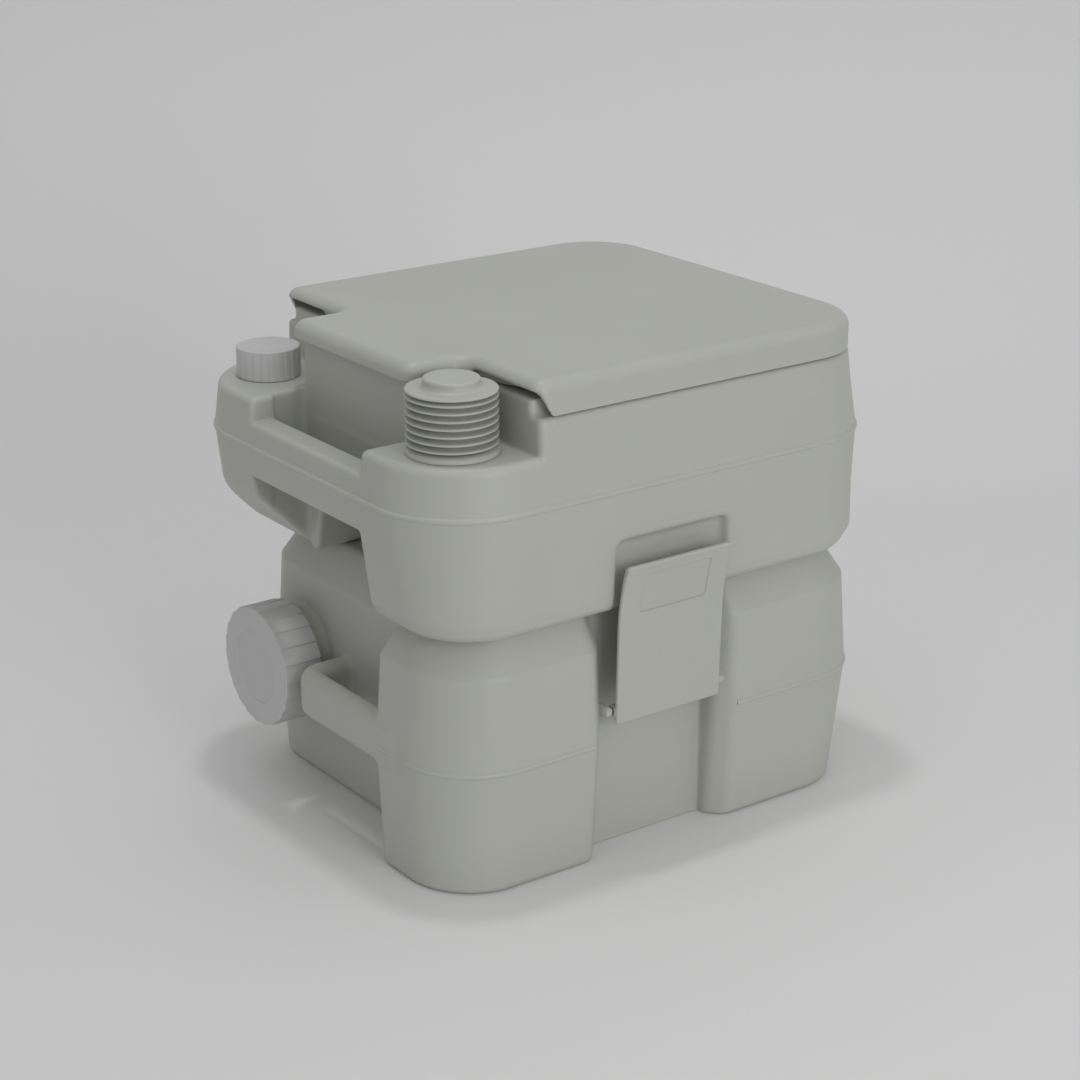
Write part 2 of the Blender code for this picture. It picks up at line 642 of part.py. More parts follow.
def waste_tank(plastic):
    body = (-LOWER_HALF_WIDTH, LOWER_HALF_WIDTH, -LOWER_FRONT, BACK_WALL_Y)
    column = (-LOWER_HALF_WIDTH, COLUMN_X, BACK_WALL_Y - COLUMN_OVERLAP, LOWER_BACK)
    body_radii = (LOWER_CORNER,) * 4
    column_radii = (COLUMN_CORNER, LOWER_CORNER, SMALLEST_CORNER, SMALLEST_CORNER)

    hollow = walls("waste_hollow", LOWER_LEVELS, *body, body_radii, WALL)
    add(hollow, walls("column_hollow", LOWER_LEVELS, *column, column_radii, WALL))
    cut(hollow, *lower_openings("waste_hollow", WALL))

    tank = walls("waste_tank", LOWER_LEVELS, *body, body_radii, finish=plastic)
    add(tank, walls("column", LOWER_LEVELS, *column, column_radii))
    neck_start = (DRAIN_X, BACK_WALL_Y - DRAIN_NECK_ROOT, DRAIN_Z)
    neck_end = (DRAIN_X, BACK_WALL_Y + DRAIN_NECK_LENGTH, DRAIN_Z)
    add(tank, hand_bar("hand_bar"), rod("drain_neck", neck_start, neck_end, DRAIN_NECK_R))
    cut(tank, *lower_openings("tank", 0.0), hollow)
    bore_start = (DRAIN_X, BACK_WALL_Y - DRAIN_BORE_START, DRAIN_Z)
    cut(tank, rod("drain_bore", bore_start, (DRAIN_X, FAR, DRAIN_Z), DRAIN_BORE_R, None, 32))
    cut(tank, upright("port", 0, VALVE_Y, VALVE_FLOOR_Z - OVERRUN, FAR, VALVE_HOLE_R, None, 32))
    reach = LATCH_HALF_Y + LATCH_RECESS_MARGIN - LATCH_BORE_END_GAP
    for side in (-1, 1):
        for end in (-1, 1):
            add(tank, latch_lug(f"latch_lug_{side}_{end}", side, end))
        pivot = side * LATCH_PIVOT_X
        ends = [(pivot, LATCH_Y + end * reach, LATCH_PIVOT_Z) for end in (-1, 1)]
        cut(tank, rod("latch_bore", *ends, LATCH_PIN_R + PIN_GAP))
    hole_low = VALVE_FLOOR_Z - SHORT_OVERRUN
    for x, y in screw_places():
        cut(tank, upright("screw_hole", x, y, hole_low, FAR, SCREW_SHANK_R + PIN_GAP, None, 12))
    return tank


def latch_lug(name, side, end):
    """Small ear between the recess and the end of a latch, which carries its pin."""
    near = LATCH_Y + end * (LATCH_HALF_Y + SLIDE_GAP)
    far = LATCH_Y + end * (LATCH_HALF_Y + LATCH_RECESS_MARGIN + WALL / 2)
    y0, y1 = sorted((near, far))
    tip = LATCH_PIVOT_X + LATCH_BARREL_R
    x0, x1 = sorted((side * (LOWER_RECESS_X - WALL / 2), side * tip))
    return box(name, x0, x1, y0, y1, LATCH_PIVOT_Z - LATCH_LUG_HALF, LATCH_PIVOT_Z + LATCH_LUG_HALF)


def lower_openings(name, grow):
    """Cutters for the latch recesses, the valve pocket, its channel and the finger recess in front."""
    cutters = []
    half_y = LATCH_HALF_Y + LATCH_RECESS_MARGIN + grow
    for side in (-1, 1):
        x0, x1 = sorted((side * FAR, side * (LOWER_RECESS_X - grow)))
        cutters.append(box(f"{name}_latch_recess", x0, x1, LATCH_Y - half_y, LATCH_Y + half_y, -FAR, FAR))
    pocket_x = VALVE_HALF_X + SLIDE_GAP + grow
    pocket_y = VALVE_HALF_Y + SLIDE_GAP + grow
    floor = VALVE_FLOOR_Z - grow
    low_y, high_y = VALVE_Y - pocket_y, VALVE_Y + pocket_y
    cutters.append(box(f"{name}_valve_pocket", -pocket_x, pocket_x, low_y, high_y, floor, FAR))
    channel_x = BLADE_HALF_X + 2 * SLIDE_GAP + grow
    channel_z = BLADE_Z - CHANNEL_DROP - grow
    cutters.append(box(f"{name}_channel", -channel_x, channel_x, -FAR, VALVE_Y, channel_z, FAR))
    finger_x = PULL_HALF_X + FINGER_SIDE + grow
    finger_y = -LOWER_FRONT + FINGER_BACK + PULL_DEPTH + grow
    finger_z = LOWER_TOP_Z - PULL_HEIGHT - FINGER_BELOW - grow
    cutters.append(box(f"{name}_finger", -finger_x, finger_x, -FAR, finger_y, finger_z, FAR))
    return cutters


def quarter_turn(x, y, radius, order):
    """Points of a quarter circle inside the corner at (x, y), in the order of its steps."""
    points = []
    for step in order:
        angle = step / (len(order) - 1) * math.pi / 2
        points.append((
            x - radius + radius * math.cos(angle),
            y - radius + radius * math.sin(angle),
        ))
    return points


def hand_bar(name):
    """Bent bar from the column, along the back, round and into the back wall."""
    out_y = LOWER_BACK + HAND_BAR_STAND_OFF
    in_y = out_y - HAND_BAR_THICK
    in_x = HAND_BAR_END_X - HAND_BAR_THICK
    root_y = BACK_WALL_Y - HAND_BAR_ROOT
    start_x = COLUMN_X - HAND_BAR_COLUMN_ROOT
    points = [(start_x, in_y), (start_x, out_y)]
    points += quarter_turn(HAND_BAR_END_X, out_y, HAND_BAR_BEND, range(6, -1, -1))
    points += [(HAND_BAR_END_X, root_y), (in_x, root_y)]
    points += quarter_turn(in_x, in_y, HAND_BAR_BEND - HAND_BAR_THICK, range(7))
    levels = (
        (HAND_BAR_LOW_Z, HAND_BAR_EDGE_INSET),
        (HAND_BAR_LOW_Z + HAND_BAR_EDGE_HEIGHT, 0),
        (HAND_BAR_HIGH_Z - HAND_BAR_EDGE_HEIGHT, 0),
        (HAND_BAR_HIGH_Z, HAND_BAR_EDGE_INSET),
    )
    return loft(name, [inset_outline(points, inset, z) for z, inset in levels])


def inset_outline(points, inset, z):
    """Closed clockwise outline moved inwards by the inset."""
    moved = []
    for index, here in enumerate(points):
        here = Vector(here)
        before = (here - Vector(points[index - 1])).normalized()
        after = (Vector(points[(index + 1) % len(points)]) - here).normalized()
        inward = Vector((before.y + after.y, -before.x - after.x)).normalized()
        stretch = 1 / max(inward.dot(Vector((before.y, -before.x))), 0.4)
        moved.append(Vector((*(here + inward * inset * stretch), z)))
    return moved


# ---- Caps ----
def cap(name, radius, height, neck_r, ribs, finish):
    """Ribbed screw cap, open end at z = 0, with a chamfer round its top and a hollow for the neck."""
    levels = ((0.0, 0.0), (height - CAP_CHAMFER, 0.0), (height, CAP_CHAMFER))
    made = loft(name, [ribbed(radius - inset, ribs, z) for z, inset in levels], finish)
    hollow_r = neck_r + SLIDE_GAP
    hollow = upright(f"{name}_hollow", 0, 0, -SHORT_OVERRUN, height - CAP_WALL, hollow_r, None, 28)
    cut_with(made, hollow)
    return made


def cut_with(made, cutter):
    """Cuts a piece that is placed later, so its cutter moves with it."""
    cutter.parent = made
    cut(made, cutter)


def drain_parts(cap_plastic, rubber):
    made = cap("drain_cap", DRAIN_CAP_R, DRAIN_CAP_DEPTH, DRAIN_NECK_R, DRAIN_RIBS, cap_plastic)
    dish_low = DRAIN_CAP_DEPTH - DRAIN_DISH_DEPTH
    cut_with(made, washer("drain_dish", 0, 0, DRAIN_DISH_INNER_R, DRAIN_DISH_OUTER_R, dish_low, FAR))
    high = DRAIN_CAP_DEPTH - CAP_WALL - TOUCH_GAP
    outer = DRAIN_NECK_R - TOUCH_GAP
    gasket = washer("drain_gasket", 0, 0, DRAIN_BORE_R, outer, high - GASKET_THICK, high, rubber)
    for piece in (made, gasket):
        turn_to_back(piece, DRAIN_X, DRAIN_CAP_BACK_Y, DRAIN_Z)


def filler_parts(cap_plastic, rubber):
    made = cap("filler_cap", FILLER_CAP_R, FILLER_CAP_HEIGHT, FILLER_NECK_R, FILLER_RIBS, cap_plastic)
    made.location = (FILLER_X, FILLER_Y, DECK_Z + TOUCH_GAP)
    high = FILLER_CAP_HEIGHT - CAP_WALL
    outer = FILLER_NECK_R - TOUCH_GAP
    gasket = washer("filler_gasket", 0, 0, FILLER_BORE_R, outer, high - GASKET_THICK, high, rubber)
    gasket.location = (FILLER_X, FILLER_Y, DECK_Z)


# ---- Pump ----
def pump_parts(plastic, pipe_plastic):
    low = DECK_Z + TOUCH_GAP
    high = low + PUMP_COLLAR_HEIGHT
    spread_r = PUMP_R + PUMP_COLLAR_SPREAD
    spigot_low = low - PUMP_SPIGOT_LENGTH
    tube_top = spigot_low + TUBE_INSERTION
    tube_seat = TUBE_R + PIN_GAP
    profile = (
        (spread_r, low),
        (spread_r, low + PUMP_COLLAR_EDGE),
        (PUMP_R - PUMP_COLLAR_TOP_INSET, high),
        (PUMP_BORE_R, high),
        (PUMP_BORE_R, tube_top),
        (tube_seat, tube_top),
        (tube_seat, spigot_low),
        (PUMP_SPIGOT_R, spigot_low),
        (PUMP_SPIGOT_R, low),
    )
    collar = loft("pump_collar", [ring(PUMP_X, PUMP_Y, r, z) for r, z in profile], plastic, tube=True)
    outlet = flush_route()[0]
    outlet_end = (outlet.x + OVERRUN, outlet.y, outlet.z)
    cut(collar, rod("outlet_bore", (PUMP_X, outlet.y, outlet.z), outlet_end, tube_seat))

    rings = []
    for pleat in range(PLEATS):
        z = BELLOWS_LOW_Z + pleat * PLEAT_PITCH
        rings += [(PUMP_R - PLEAT_DEPTH, z), (PUMP_R, z + PLEAT_PITCH / 2)]
    rings.append((PUMP_R - PLEAT_DEPTH, BELLOWS_HIGH_Z))
    outer = [ring(PUMP_X, PUMP_Y, r, z) for r, z in rings]
    inner = [ring(PUMP_X, PUMP_Y, r - BELLOWS_SKIN, z) for r, z in reversed(rings)]
    loft("pump_bellows", outer + inner, plastic, tube=True)

    plate = BELLOWS_HIGH_Z + TOUCH_GAP
    button = plate + PUMP_PLATE
    top = button + PUMP_BUTTON_HEIGHT
    # Button's side as (radius, height), from the plate's underside up
    levels = (
        (PUMP_R, plate),
        (PUMP_R + 0.0002, button - 0.0006),
        (PUMP_R - 0.0010, button),
        (PUMP_BUTTON_R + 0.0022, button + 0.0004),
        (PUMP_BUTTON_R, button + 0.0035),
        (PUMP_BUTTON_R - 0.0006, top - 0.0010),
        (PUMP_BUTTON_R - 0.0020, top),
    )
    button_top = loft("pump_top", [ring(0, 0, r, z) for r, z in levels], plastic)
    button_top.location = (PUMP_X, PUMP_Y, 0)

    foot_z = UPPER_BOTTOM_Z + WALL + FOOT_GAP
    intake_high = tube_top - PIN_GAP
    washer("pump_intake_tube", PUMP_X, PUMP_Y, TUBE_BORE_R, TUBE_R, foot_z, intake_high, pipe_plastic, 16)
    foot_levels = (
        (FOOT_R, foot_z - FOOT_BASE),
        (FOOT_R, foot_z + FOOT_SLEEVE),
        (TUBE_R + FOOT_NOSE_WALL, foot_z + FOOT_NOSE),
    )
    foot_rings = [ring(PUMP_X, PUMP_Y, r, z, 20) for r, z in foot_levels]
    foot = loft("pump_foot_valve", foot_rings, pipe_plastic)
    cut(foot, upright("foot_bore", PUMP_X, PUMP_Y, foot_z - TOUCH_GAP, FAR, TUBE_R + PIN_GAP))


def flush_route():
    """Points of the pipe from the pump's outlet to the nozzle behind the bowl."""
    z = DECK_Z - FLUSH_DEPTH
    start = Vector((PUMP_X + PUMP_SPIGOT_R - 0.004, PUMP_Y, z))
    end = Vector((NOZZLE_X, nozzle_back_y() + TOUCH_GAP, NOZZLE_Z))
    turn_x = min(NOZZLE_X, -GRIP_HALF + 0.012)
    half_way_y = (start.y + NOTCH_Y) / 2
    return [
        start,
        start + Vector((0.008, 0, 0)),
        Vector((turn_x - 0.012, half_way_y + 0.010, z + 0.0015)),
        Vector((turn_x, half_way_y, z + 0.008)),
        Vector((NOZZLE_X, end.y + 0.018, NOZZLE_Z - 0.002)),
        Vector((NOZZLE_X, end.y + 0.008, NOZZLE_Z)),
        end,
    ]


def smooth_route(points, steps=6):
    """Catmull-Rom curve through the points."""
    ends = [2 * points[0] - points[1], *points, 2 * points[-1] - points[-2]]
    route = []
    for a, b, c, d in zip(ends, ends[1:], ends[2:], ends[3:]):
        for step in range(steps):
            t = step / steps
            square = (2 * a - 5 * b + 4 * c - d) * t**2
            cube = (3 * b - a - 3 * c + d) * t**3
            route.append(0.5 * (2 * b + (c - a) * t + square + cube))
    return [*route, points[-1]]


def nozzle_back_y():
    share = math.sqrt(1 - (NOZZLE_X / BOWL_HALF_X) ** 2)
    return BOWL_Y + BOWL_HALF_Y * share + BOWL_GAP + WALL + NOZZLE_REAR


def flush_parts(pipe_plastic, plastic):
    curve = bpy.data.curves.new("flush_pipe", "CURVE")
    curve.dimensions = "3D"
    curve.bevel_depth = FLUSH_PIPE_R
    curve.bevel_resolution = 2
    curve.use_fill_caps = True
    route = smooth_route(flush_route())
    spline = curve.splines.new("POLY")
    spline.points.add(len(route) - 1)
    for point, place in zip(spline.points, route):
        point.co = (*place, 1)
    curve.materials.append(pipe_plastic)
    pipe = bpy.data.objects.new("flush_pipe", curve)
    bpy.context.scene.collection.objects.link(pipe)

    back = nozzle_back_y()
    front = back - WALL - BOWL_GAP - BOWL_SKIN - NOZZLE_REACH
    line = ((NOZZLE_X, front, NOZZLE_Z), (NOZZLE_X, back, NOZZLE_Z))
    nozzle = rod("flush_nozzle", *line, NOZZLE_R, plastic)
    slit_x0, slit_x1 = NOZZLE_X - NOZZLE_SLIT_HALF, NOZZLE_X + NOZZLE_SLIT_HALF
    slit_y0, slit_y1 = front - SHORT_OVERRUN, front + NOZZLE_SLIT_DEPTH
    cut(nozzle, box("nozzle_slit", slit_x0, slit_x1, slit_y0, slit_y1, 0, NOZZLE_Z))


# ---- Bowl and valve ----
def bowl_part(plastic, rubber):
    outer = bowl_outlines(0.0)
    inner = bowl_outlines(-BOWL_SKIN)
    top = RIM_Z - TOUCH_GAP
    under = top - BOWL_SKIN
    for point in outer[-1]:
        point.z = under
    for point in inner[-1]:
        point.z = top
    half_x, half_y = BOWL_HALF_X + BOWL_FLANGE, BOWL_HALF_Y + BOWL_FLANGE
    flange = [ring(0, BOWL_Y, half_x, z, 40, half_y) for z in (under, top)]
    bowl = loft("bowl", outer + flange + inner[::-1], plastic, tube=True)
    line = ((NOZZLE_X, BOWL_Y, NOZZLE_Z), (NOZZLE_X, BOWL_BACK + 0.02, NOZZLE_Z))
    cut(bowl, rod("bowl_nozzle_hole", *line, NOZZLE_R + SLIDE_GAP))
    ring_low, ring_high = UPPER_BOTTOM_Z + RING_LOW, UPPER_BOTTOM_Z + RING_HIGH
    inner_r, outer_r = OUTLET_R + TOUCH_GAP, OUTLET_R + BOWL_GAP - TOUCH_GAP
    washer("bowl_outlet_ring", 0, VALVE_Y, inner_r, outer_r, ring_low, ring_high, rubber, 40)


def screw_places():
    reach_x = VALVE_HALF_X - SCREW_INSET
    reach_y = VALVE_HALF_Y - SCREW_INSET
    return [(x, VALVE_Y + y) for x in (-reach_x, reach_x) for y in (-reach_y, reach_y)]


def valve_housing(dark_plastic, rubber):
    """Housing with a slot for the blade and a seal above and below it."""
    low = VALVE_FLOOR_Z + TOUCH_GAP
    high = LOWER_TOP_Z - VALVE_TOP_GAP
    y0, y1 = VALVE_Y - VALVE_HALF_Y, VALVE_Y + VALVE_HALF_Y
    housing = box("valve_housing", -VALVE_HALF_X, VALVE_HALF_X, y0, y1, low, high, dark_plastic)
    slot_x = BLADE_HALF_X + SLIDE_GAP
    slot_z = (BLADE_Z - SLIDE_GAP, BLADE_Z + BLADE_THICK + SLIDE_GAP)
    cut(housing, box("blade_slot", -slot_x, slot_x, -FAR, VALVE_Y + slot_x, *slot_z))
    port_r = VALVE_HOLE_R - SLIDE_GAP
    cut(housing, upright("housing_port", 0, VALVE_Y, 0, FAR, port_r, None, 32))
    seal_low = high - UPPER_SEAL_THICK
    groove = (seal_low - TOUCH_GAP, FAR, OUTLET_R + TOUCH_GAP)
    cut(housing, upright("upper_groove", 0, VALVE_Y, *groove, None, 32))
    seal_high = VALVE_FLOOR_Z + LOWER_SEAL_THICK
    groove = (0, seal_high + TOUCH_GAP, LOWER_SEAL_R + TOUCH_GAP)
    cut(housing, upright("lower_groove", 0, VALVE_Y, *groove, None, 32))
    for x, y in screw_places():
        cut(housing, upright("housing_hole", x, y, 0, FAR, SCREW_SHANK_R + PIN_GAP, None, 12))
        sink_low = high - SCREW_HEAD_SINK - SCREW_HEAD_HEIGHT - TOUCH_GAP
        cut(housing, upright("head_sink", x, y, sink_low, FAR, SCREW_HEAD_R + PIN_GAP, None, 16))
    upper_z = (seal_low, OUTLET_Z - TOUCH_GAP)
    washer("valve_seal_upper", 0, VALVE_Y, VALVE_HOLE_R, OUTLET_R, *upper_z, rubber, 32)
    inner_r = VALVE_HOLE_R + SLIDE_GAP
    washer("valve_seal_lower", 0, VALVE_Y, inner_r, LOWER_SEAL_R, low, seal_high, rubber, 32)


def valve_gate(dark_plastic, steel):
    """Blade with its tongue, and the pull that hooks over the tongue's end."""
    blade_high = BLADE_Z + BLADE_THICK
    y0, y1 = VALVE_Y - BLADE_HALF_X, VALVE_Y + BLADE_HALF_X
    blade = box("valve_blade", -BLADE_HALF_X, BLADE_HALF_X, y0, y1, BLADE_Z, blade_high, steel)
    tongue_y = PULL_BACK_Y - TONGUE_INSERTION
    add(blade, box("tongue", -TONGUE_HALF_X, TONGUE_HALF_X, tongue_y, VALVE_Y, BLADE_Z, blade_high))

    high = blade_high + PULL_OVER_BLADE
    sides = (-PULL_HALF_X, PULL_HALF_X, PULL_FRONT_Y, PULL_BACK_Y)
    pull = box("valve_pull", *sides, high - PULL_HEIGHT, high, dark_plastic)
    slot_x = TONGUE_HALF_X + PIN_GAP
    slot_z = (BLADE_Z - PIN_GAP, blade_high + PIN_GAP)
    cut(pull, box("pull_slot", -slot_x, slot_x, tongue_y - PIN_GAP, FAR, *slot_z))
    grip_x = PULL_HALF_X - PULL_SIDE_WALL
    grip_y = PULL_FRONT_Y + PULL_FRONT_WALL
    cut(pull, box("pull_grip", -grip_x, grip_x, grip_y, FAR, 0, BLADE_Z - PULL_UNDER_BLADE))
    return blade, pull


def valve_screws(steel):
    """Slotted pan-head screws that hold the housing in its pocket."""
    high = LOWER_TOP_Z - VALVE_TOP_GAP - SCREW_HEAD_SINK
    head_low = high - SCREW_HEAD_HEIGHT
    levels = (
        (SCREW_SHANK_R, VALVE_FLOOR_Z - SCREW_DEPTH),
        (SCREW_SHANK_R, head_low),
        (SCREW_HEAD_R, head_low),
        (SCREW_HEAD_R, high),
    )
    for index, (x, y) in enumerate(screw_places(), start=1):
        screw = loft(f"valve_screw_{index}", [ring(x, y, r, z, 12) for r, z in levels], steel)
        x0, x1 = x - SCREW_SLOT_HALF, x + SCREW_SLOT_HALF
        y0, y1 = y - SCREW_SLOT_HALF_WIDTH, y + SCREW_SLOT_HALF_WIDTH
        cut(screw, box(f"screw_drive_{index}", x0, x1, y0, y1, high - SCREW_SLOT_DEPTH, FAR))


# ---- Seat, lid and hinge ----
def knuckles(name, place, web):
    """Pair of hinge eyes with their webs. Place counts outwards from the middle."""
    made = []
    y0, y1, z0, z1 = web
    for side in (-1, 1):
        first = side * (KNUCKLE_START + place * (KNUCKLE_LENGTH + KNUCKLE_GAP))
        x0, x1 = sorted((first, first + side * KNUCKLE_LENGTH))
        made.append(rod(f"{name}_eye_{side}", (x0, HINGE_Y, HINGE_Z), (x1, HINGE_Y, HINGE_Z), KNUCKLE_R))
        made.append(box(f"{name}_web_{side}", x0, x1, y0, y1, z0, z1))
    return made


def pin_bore(name):
    return rod(name, (-FAR, HINGE_Y, HINGE_Z), (FAR, HINGE_Y, HINGE_Z), HINGE_PIN_R + PIN_GAP)


def seat_part(plastic, rubber):
    """Seat ring with its tail and hinge eyes, and four bumpers let into its underside."""
    front = RIM_FRONT - SEAT_EDGE_INSET
    back = NOTCH_Y - SEAT_BACK_GAP
    tail_y = BLOCK_Y - SEAT_TAIL_GAP
    tail_half = KNUCKLE_START + 2 * KNUCKLE_LENGTH + KNUCKLE_GAP

    def edge(extra, z):
        radii = (SEAT_BACK_CORNER + extra, SEAT_BACK_CORNER + extra, SEAT_CORNER, SEAT_CORNER)
        half = RIM_HALF - SEAT_EDGE_INSET - extra
        return rounded(-half, half, -front + extra, back - extra, radii, z)

    def hole(extra, z):
        half_x = SEAT_HOLE_HALF_X + extra
        half_y = (front + back) / 2 - SEAT_HOLE_LAND + extra
        return oval_facing(edge(0, z), 0, (back - front) / 2, half_x, half_y, z)

    shoulder = SEAT_HIGH_Z - SEAT_EDGE
    outlines = [
        edge(0, SEAT_LOW_Z),
        edge(0, shoulder),
        edge(SEAT_EDGE, SEAT_HIGH_Z),
        hole(SEAT_EDGE, SEAT_HIGH_Z),
        hole(0, shoulder),
        hole(0, SEAT_LOW_Z),
    ]
    seat = loft("seat", outlines, plastic, tube=True)
    tail_start = back - SEAT_TAIL_OVERLAP
    add(seat, box("seat_tail", -tail_half, tail_half, tail_start, tail_y, SEAT_LOW_Z, SEAT_HIGH_Z))
    web = (tail_y - SEAT_EDGE, HINGE_Y, HINGE_Z - SEAT_WEB_HALF, HINGE_Z + SEAT_WEB_HALF)
    add(seat, *knuckles("seat", 1, web))
    cut(seat, pin_bore("seat_pin_bore"))
    pieces = [seat]
    sink = SEAT_LOW_Z + BUMPER_DEPTH
    x = RIM_HALF - SEAT_BUMPER_INSET
    for side, side_name in ((-x, "left"), (x, "right")):
        for y, end_name in ((-front + SEAT_BUMPER_FRONT, "front"), (back - SEAT_BUMPER_BACK, "back")):
            name = f"{side_name}_{end_name}"
            cut(seat, upright(f"sink_{name}", side, y, 0, sink, BUMPER_R + TOUCH_GAP, None, 16))
            ends = (RIM_Z + TOUCH_GAP, sink - TOUCH_GAP)
            pieces.append(upright(f"seat_bumper_{name}", side, y, *ends, BUMPER_R, rubber, 16))
    return pieces


def lid_shell(name, inset, drop, finish=None):
    """Lid's outer form, or the hollow inside it where inset and drop are given."""
    half = HALF_WIDTH - LID_SIDE_INSET
    front = HALF_LENGTH - LID_FRONT_INSET
    back = BLOCK_Y + TONGUE_OVERHANG
    outlines = []
    for z, edge in LID_LEVELS:
        grown = edge + inset
        radii = [LID_CORNER - grown] * 4
        far_y = back - edge * LID_BACK_EDGE_SHARE - inset
        outlines.append(rounded(-half + grown, half - grown, -front + grown, far_y, radii, z - drop))
    return loft(name, outlines, finish)


def lid_part(plastic, rubber):
    """Lid with a tongue between two notches, hinge eyes under the tongue and two bumpers."""
    hollow = lid_shell("lid_hollow", LID_SKIN, LID_SKIN)
    lid = lid_shell("lid", 0.0, 0.0, plastic)
    notch_y = NOTCH_Y + NOTCH_GAP
    for side in (-1, 1):
        x0, x1 = sorted((side * TONGUE_HALF, side * FAR))
        cut(lid, box(f"lid_notch_{side}", x0, x1, notch_y, FAR, 0, FAR))
        x0, x1 = sorted((side * (TONGUE_HALF - LID_SKIN), side * FAR))
        cut(hollow, box(f"hollow_notch_{side}", x0, x1, notch_y - LID_SKIN, FAR, 0, FAR))
    trim = box("lid_back_trim", -FAR, FAR, NOTCH_Y - NOTCH_GAP, FAR, 0, LID_BACK_SKIRT_Z)
    cut(lid, hollow, trim)
    web = (HINGE_Y - LID_WEB_HALF, HINGE_Y + LID_WEB_HALF, HINGE_Z, LID_CEILING_Z + LID_SKIN / 2)
    add(lid, *knuckles("lid", 0, web))
    cut(lid, pin_bore("lid_pin_bore"))
    pieces = [lid]
    sink = LID_CEILING_Z + LID_BUMPER_DEPTH
    x, y = SEAT_HOLE_HALF_X + LID_BUMPER_OUT, -RIM_FRONT + LID_BUMPER_FRONT
    for side, name in ((-x, "left"), (x, "right")):
        cut(lid, upright(f"sink_{name}", side, y, 0, sink, BUMPER_R + TOUCH_GAP, None, 16))
        ends = (SEAT_HIGH_Z + TOUCH_GAP, sink - TOUCH_GAP)
        pieces.append(upright(f"lid_bumper_{name}", side, y, *ends, BUMPER_R, rubber, 16))
    return pieces


def hinge_pins(steel):
    """Pin on each side through the lid's eye, the seat's eye and the tank's lug."""
    start = KNUCKLE_START - PIN_INNER_OVERHANG
    end = KNUCKLE_START + 2 * KNUCKLE_LENGTH + LUG_GAP + LUG_LENGTH + PIN_OVERHANG
    for name, side in (("hinge_pin_left", -1), ("hinge_pin_right", 1)):
        ends = ((side * start, HINGE_Y, HINGE_Z), (side * end, HINGE_Y, HINGE_Z))
        rod(name, *ends, HINGE_PIN_R, steel, 12)


# ---- Latches ----
def latch_face(z):
    """Distance of the latch's outer face from the middle plane: straight, then flared near its top."""
    lean = LATCH_LEAN * (z - LATCH_BOTTOM_Z) / (LATCH_TOP_Z - LATCH_BOTTOM_Z)
    bend = max(0.0, 1 - (LATCH_TOP_Z - z) / LATCH_BEND_LENGTH)
    return LATCH_FACE_X + lean + (LATCH_FLARE - LATCH_LEAN) * bend**2


def latch_slab(name, side, levels, half_y, faces, finish=None):
    """Slab that follows the latch's face. Faces gives its two sides for a height."""
    y0, y1 = LATCH_Y - half_y, LATCH_Y + half_y
    outlines = []
    for z in levels:
        x0, x1 = sorted(side * x for x in faces(z))
        outlines.append([Vector((x, y, z)) for x, y in ((x1, y1), (x0, y1), (x0, y0), (x1, y0))])
    return loft(name, outlines, finish)


def latch_pair(plastic, steel):
    """Both latches with their pins. Each latch has a barrel, a plate, a hook and a blank sunk panel."""
    height = LATCH_TOP_Z - LATCH_BOTTOM_Z
    levels = [LATCH_BOTTOM_Z + height * share for share in LATCH_LEVEL_SHARES]
    label_top = LATCH_TOP_Z - LABEL_TOP_LAND
    label_levels = [label_top - LABEL_HEIGHT * step / LABEL_STEPS for step in range(LABEL_STEPS, -1, -1)]
    latches = []
    for name, side in (("left", -1), ("right", 1)):
        latch = latch_slab(f"latch_{name}", side, levels, LATCH_HALF_Y,
                           lambda z: (latch_face(z) - LATCH_THICK, latch_face(z)), plastic)
        pivot = side * LATCH_PIVOT_X
        ends = [(pivot, LATCH_Y + end * LATCH_HALF_Y, LATCH_PIVOT_Z) for end in (-1, 1)]
        add(latch, rod(f"barrel_{name}", *ends, LATCH_BARREL_R))
        tip = HALF_WIDTH - UPPER_RECESS_DEPTH - HOOK_BITE
        x0, x1 = sorted((side * tip, side * (latch_face(HOOK_Z) - LATCH_THICK / 2)))
        y0, y1 = LATCH_Y - HOOK_HALF_Y, LATCH_Y + HOOK_HALF_Y
        add(latch, box(f"hook_{name}", x0, x1, y0, y1, HOOK_Z, HOOK_Z + HOOK_THICK))
        cut(latch, latch_slab(f"label_{name}", side, label_levels, LABEL_HALF_Y,
                              lambda z: (latch_face(z) - LABEL_DEPTH, FAR)))
        bore = [(pivot, end * FAR, LATCH_PIVOT_Z) for end in (-1, 1)]
        cut(latch, rod(f"bore_{name}", *bore, LATCH_PIN_R + PIN_GAP))
        pin_half = LATCH_HALF_Y + LATCH_RECESS_MARGIN - LATCH_PIN_END_GAP
        ends = [(pivot, LATCH_Y + end * pin_half, LATCH_PIVOT_Z) for end in (-1, 1)]
        rod(f"latch_pin_{name}", *ends, LATCH_PIN_R, steel, 12)
        latches.append(latch)
    return latches


# ---- Joint axes ----
def carry(name, place, pieces):
    """Empty on a joint's axis that carries the pieces it moves, which stay where they are."""
    axis = bpy.data.objects.new(name, None)
    axis.location = place
    bpy.context.scene.collection.objects.link(axis)
    for piece in pieces:
        piece.parent = axis
        piece.matrix_parent_inverse = Matrix.Translation(place).inverted()


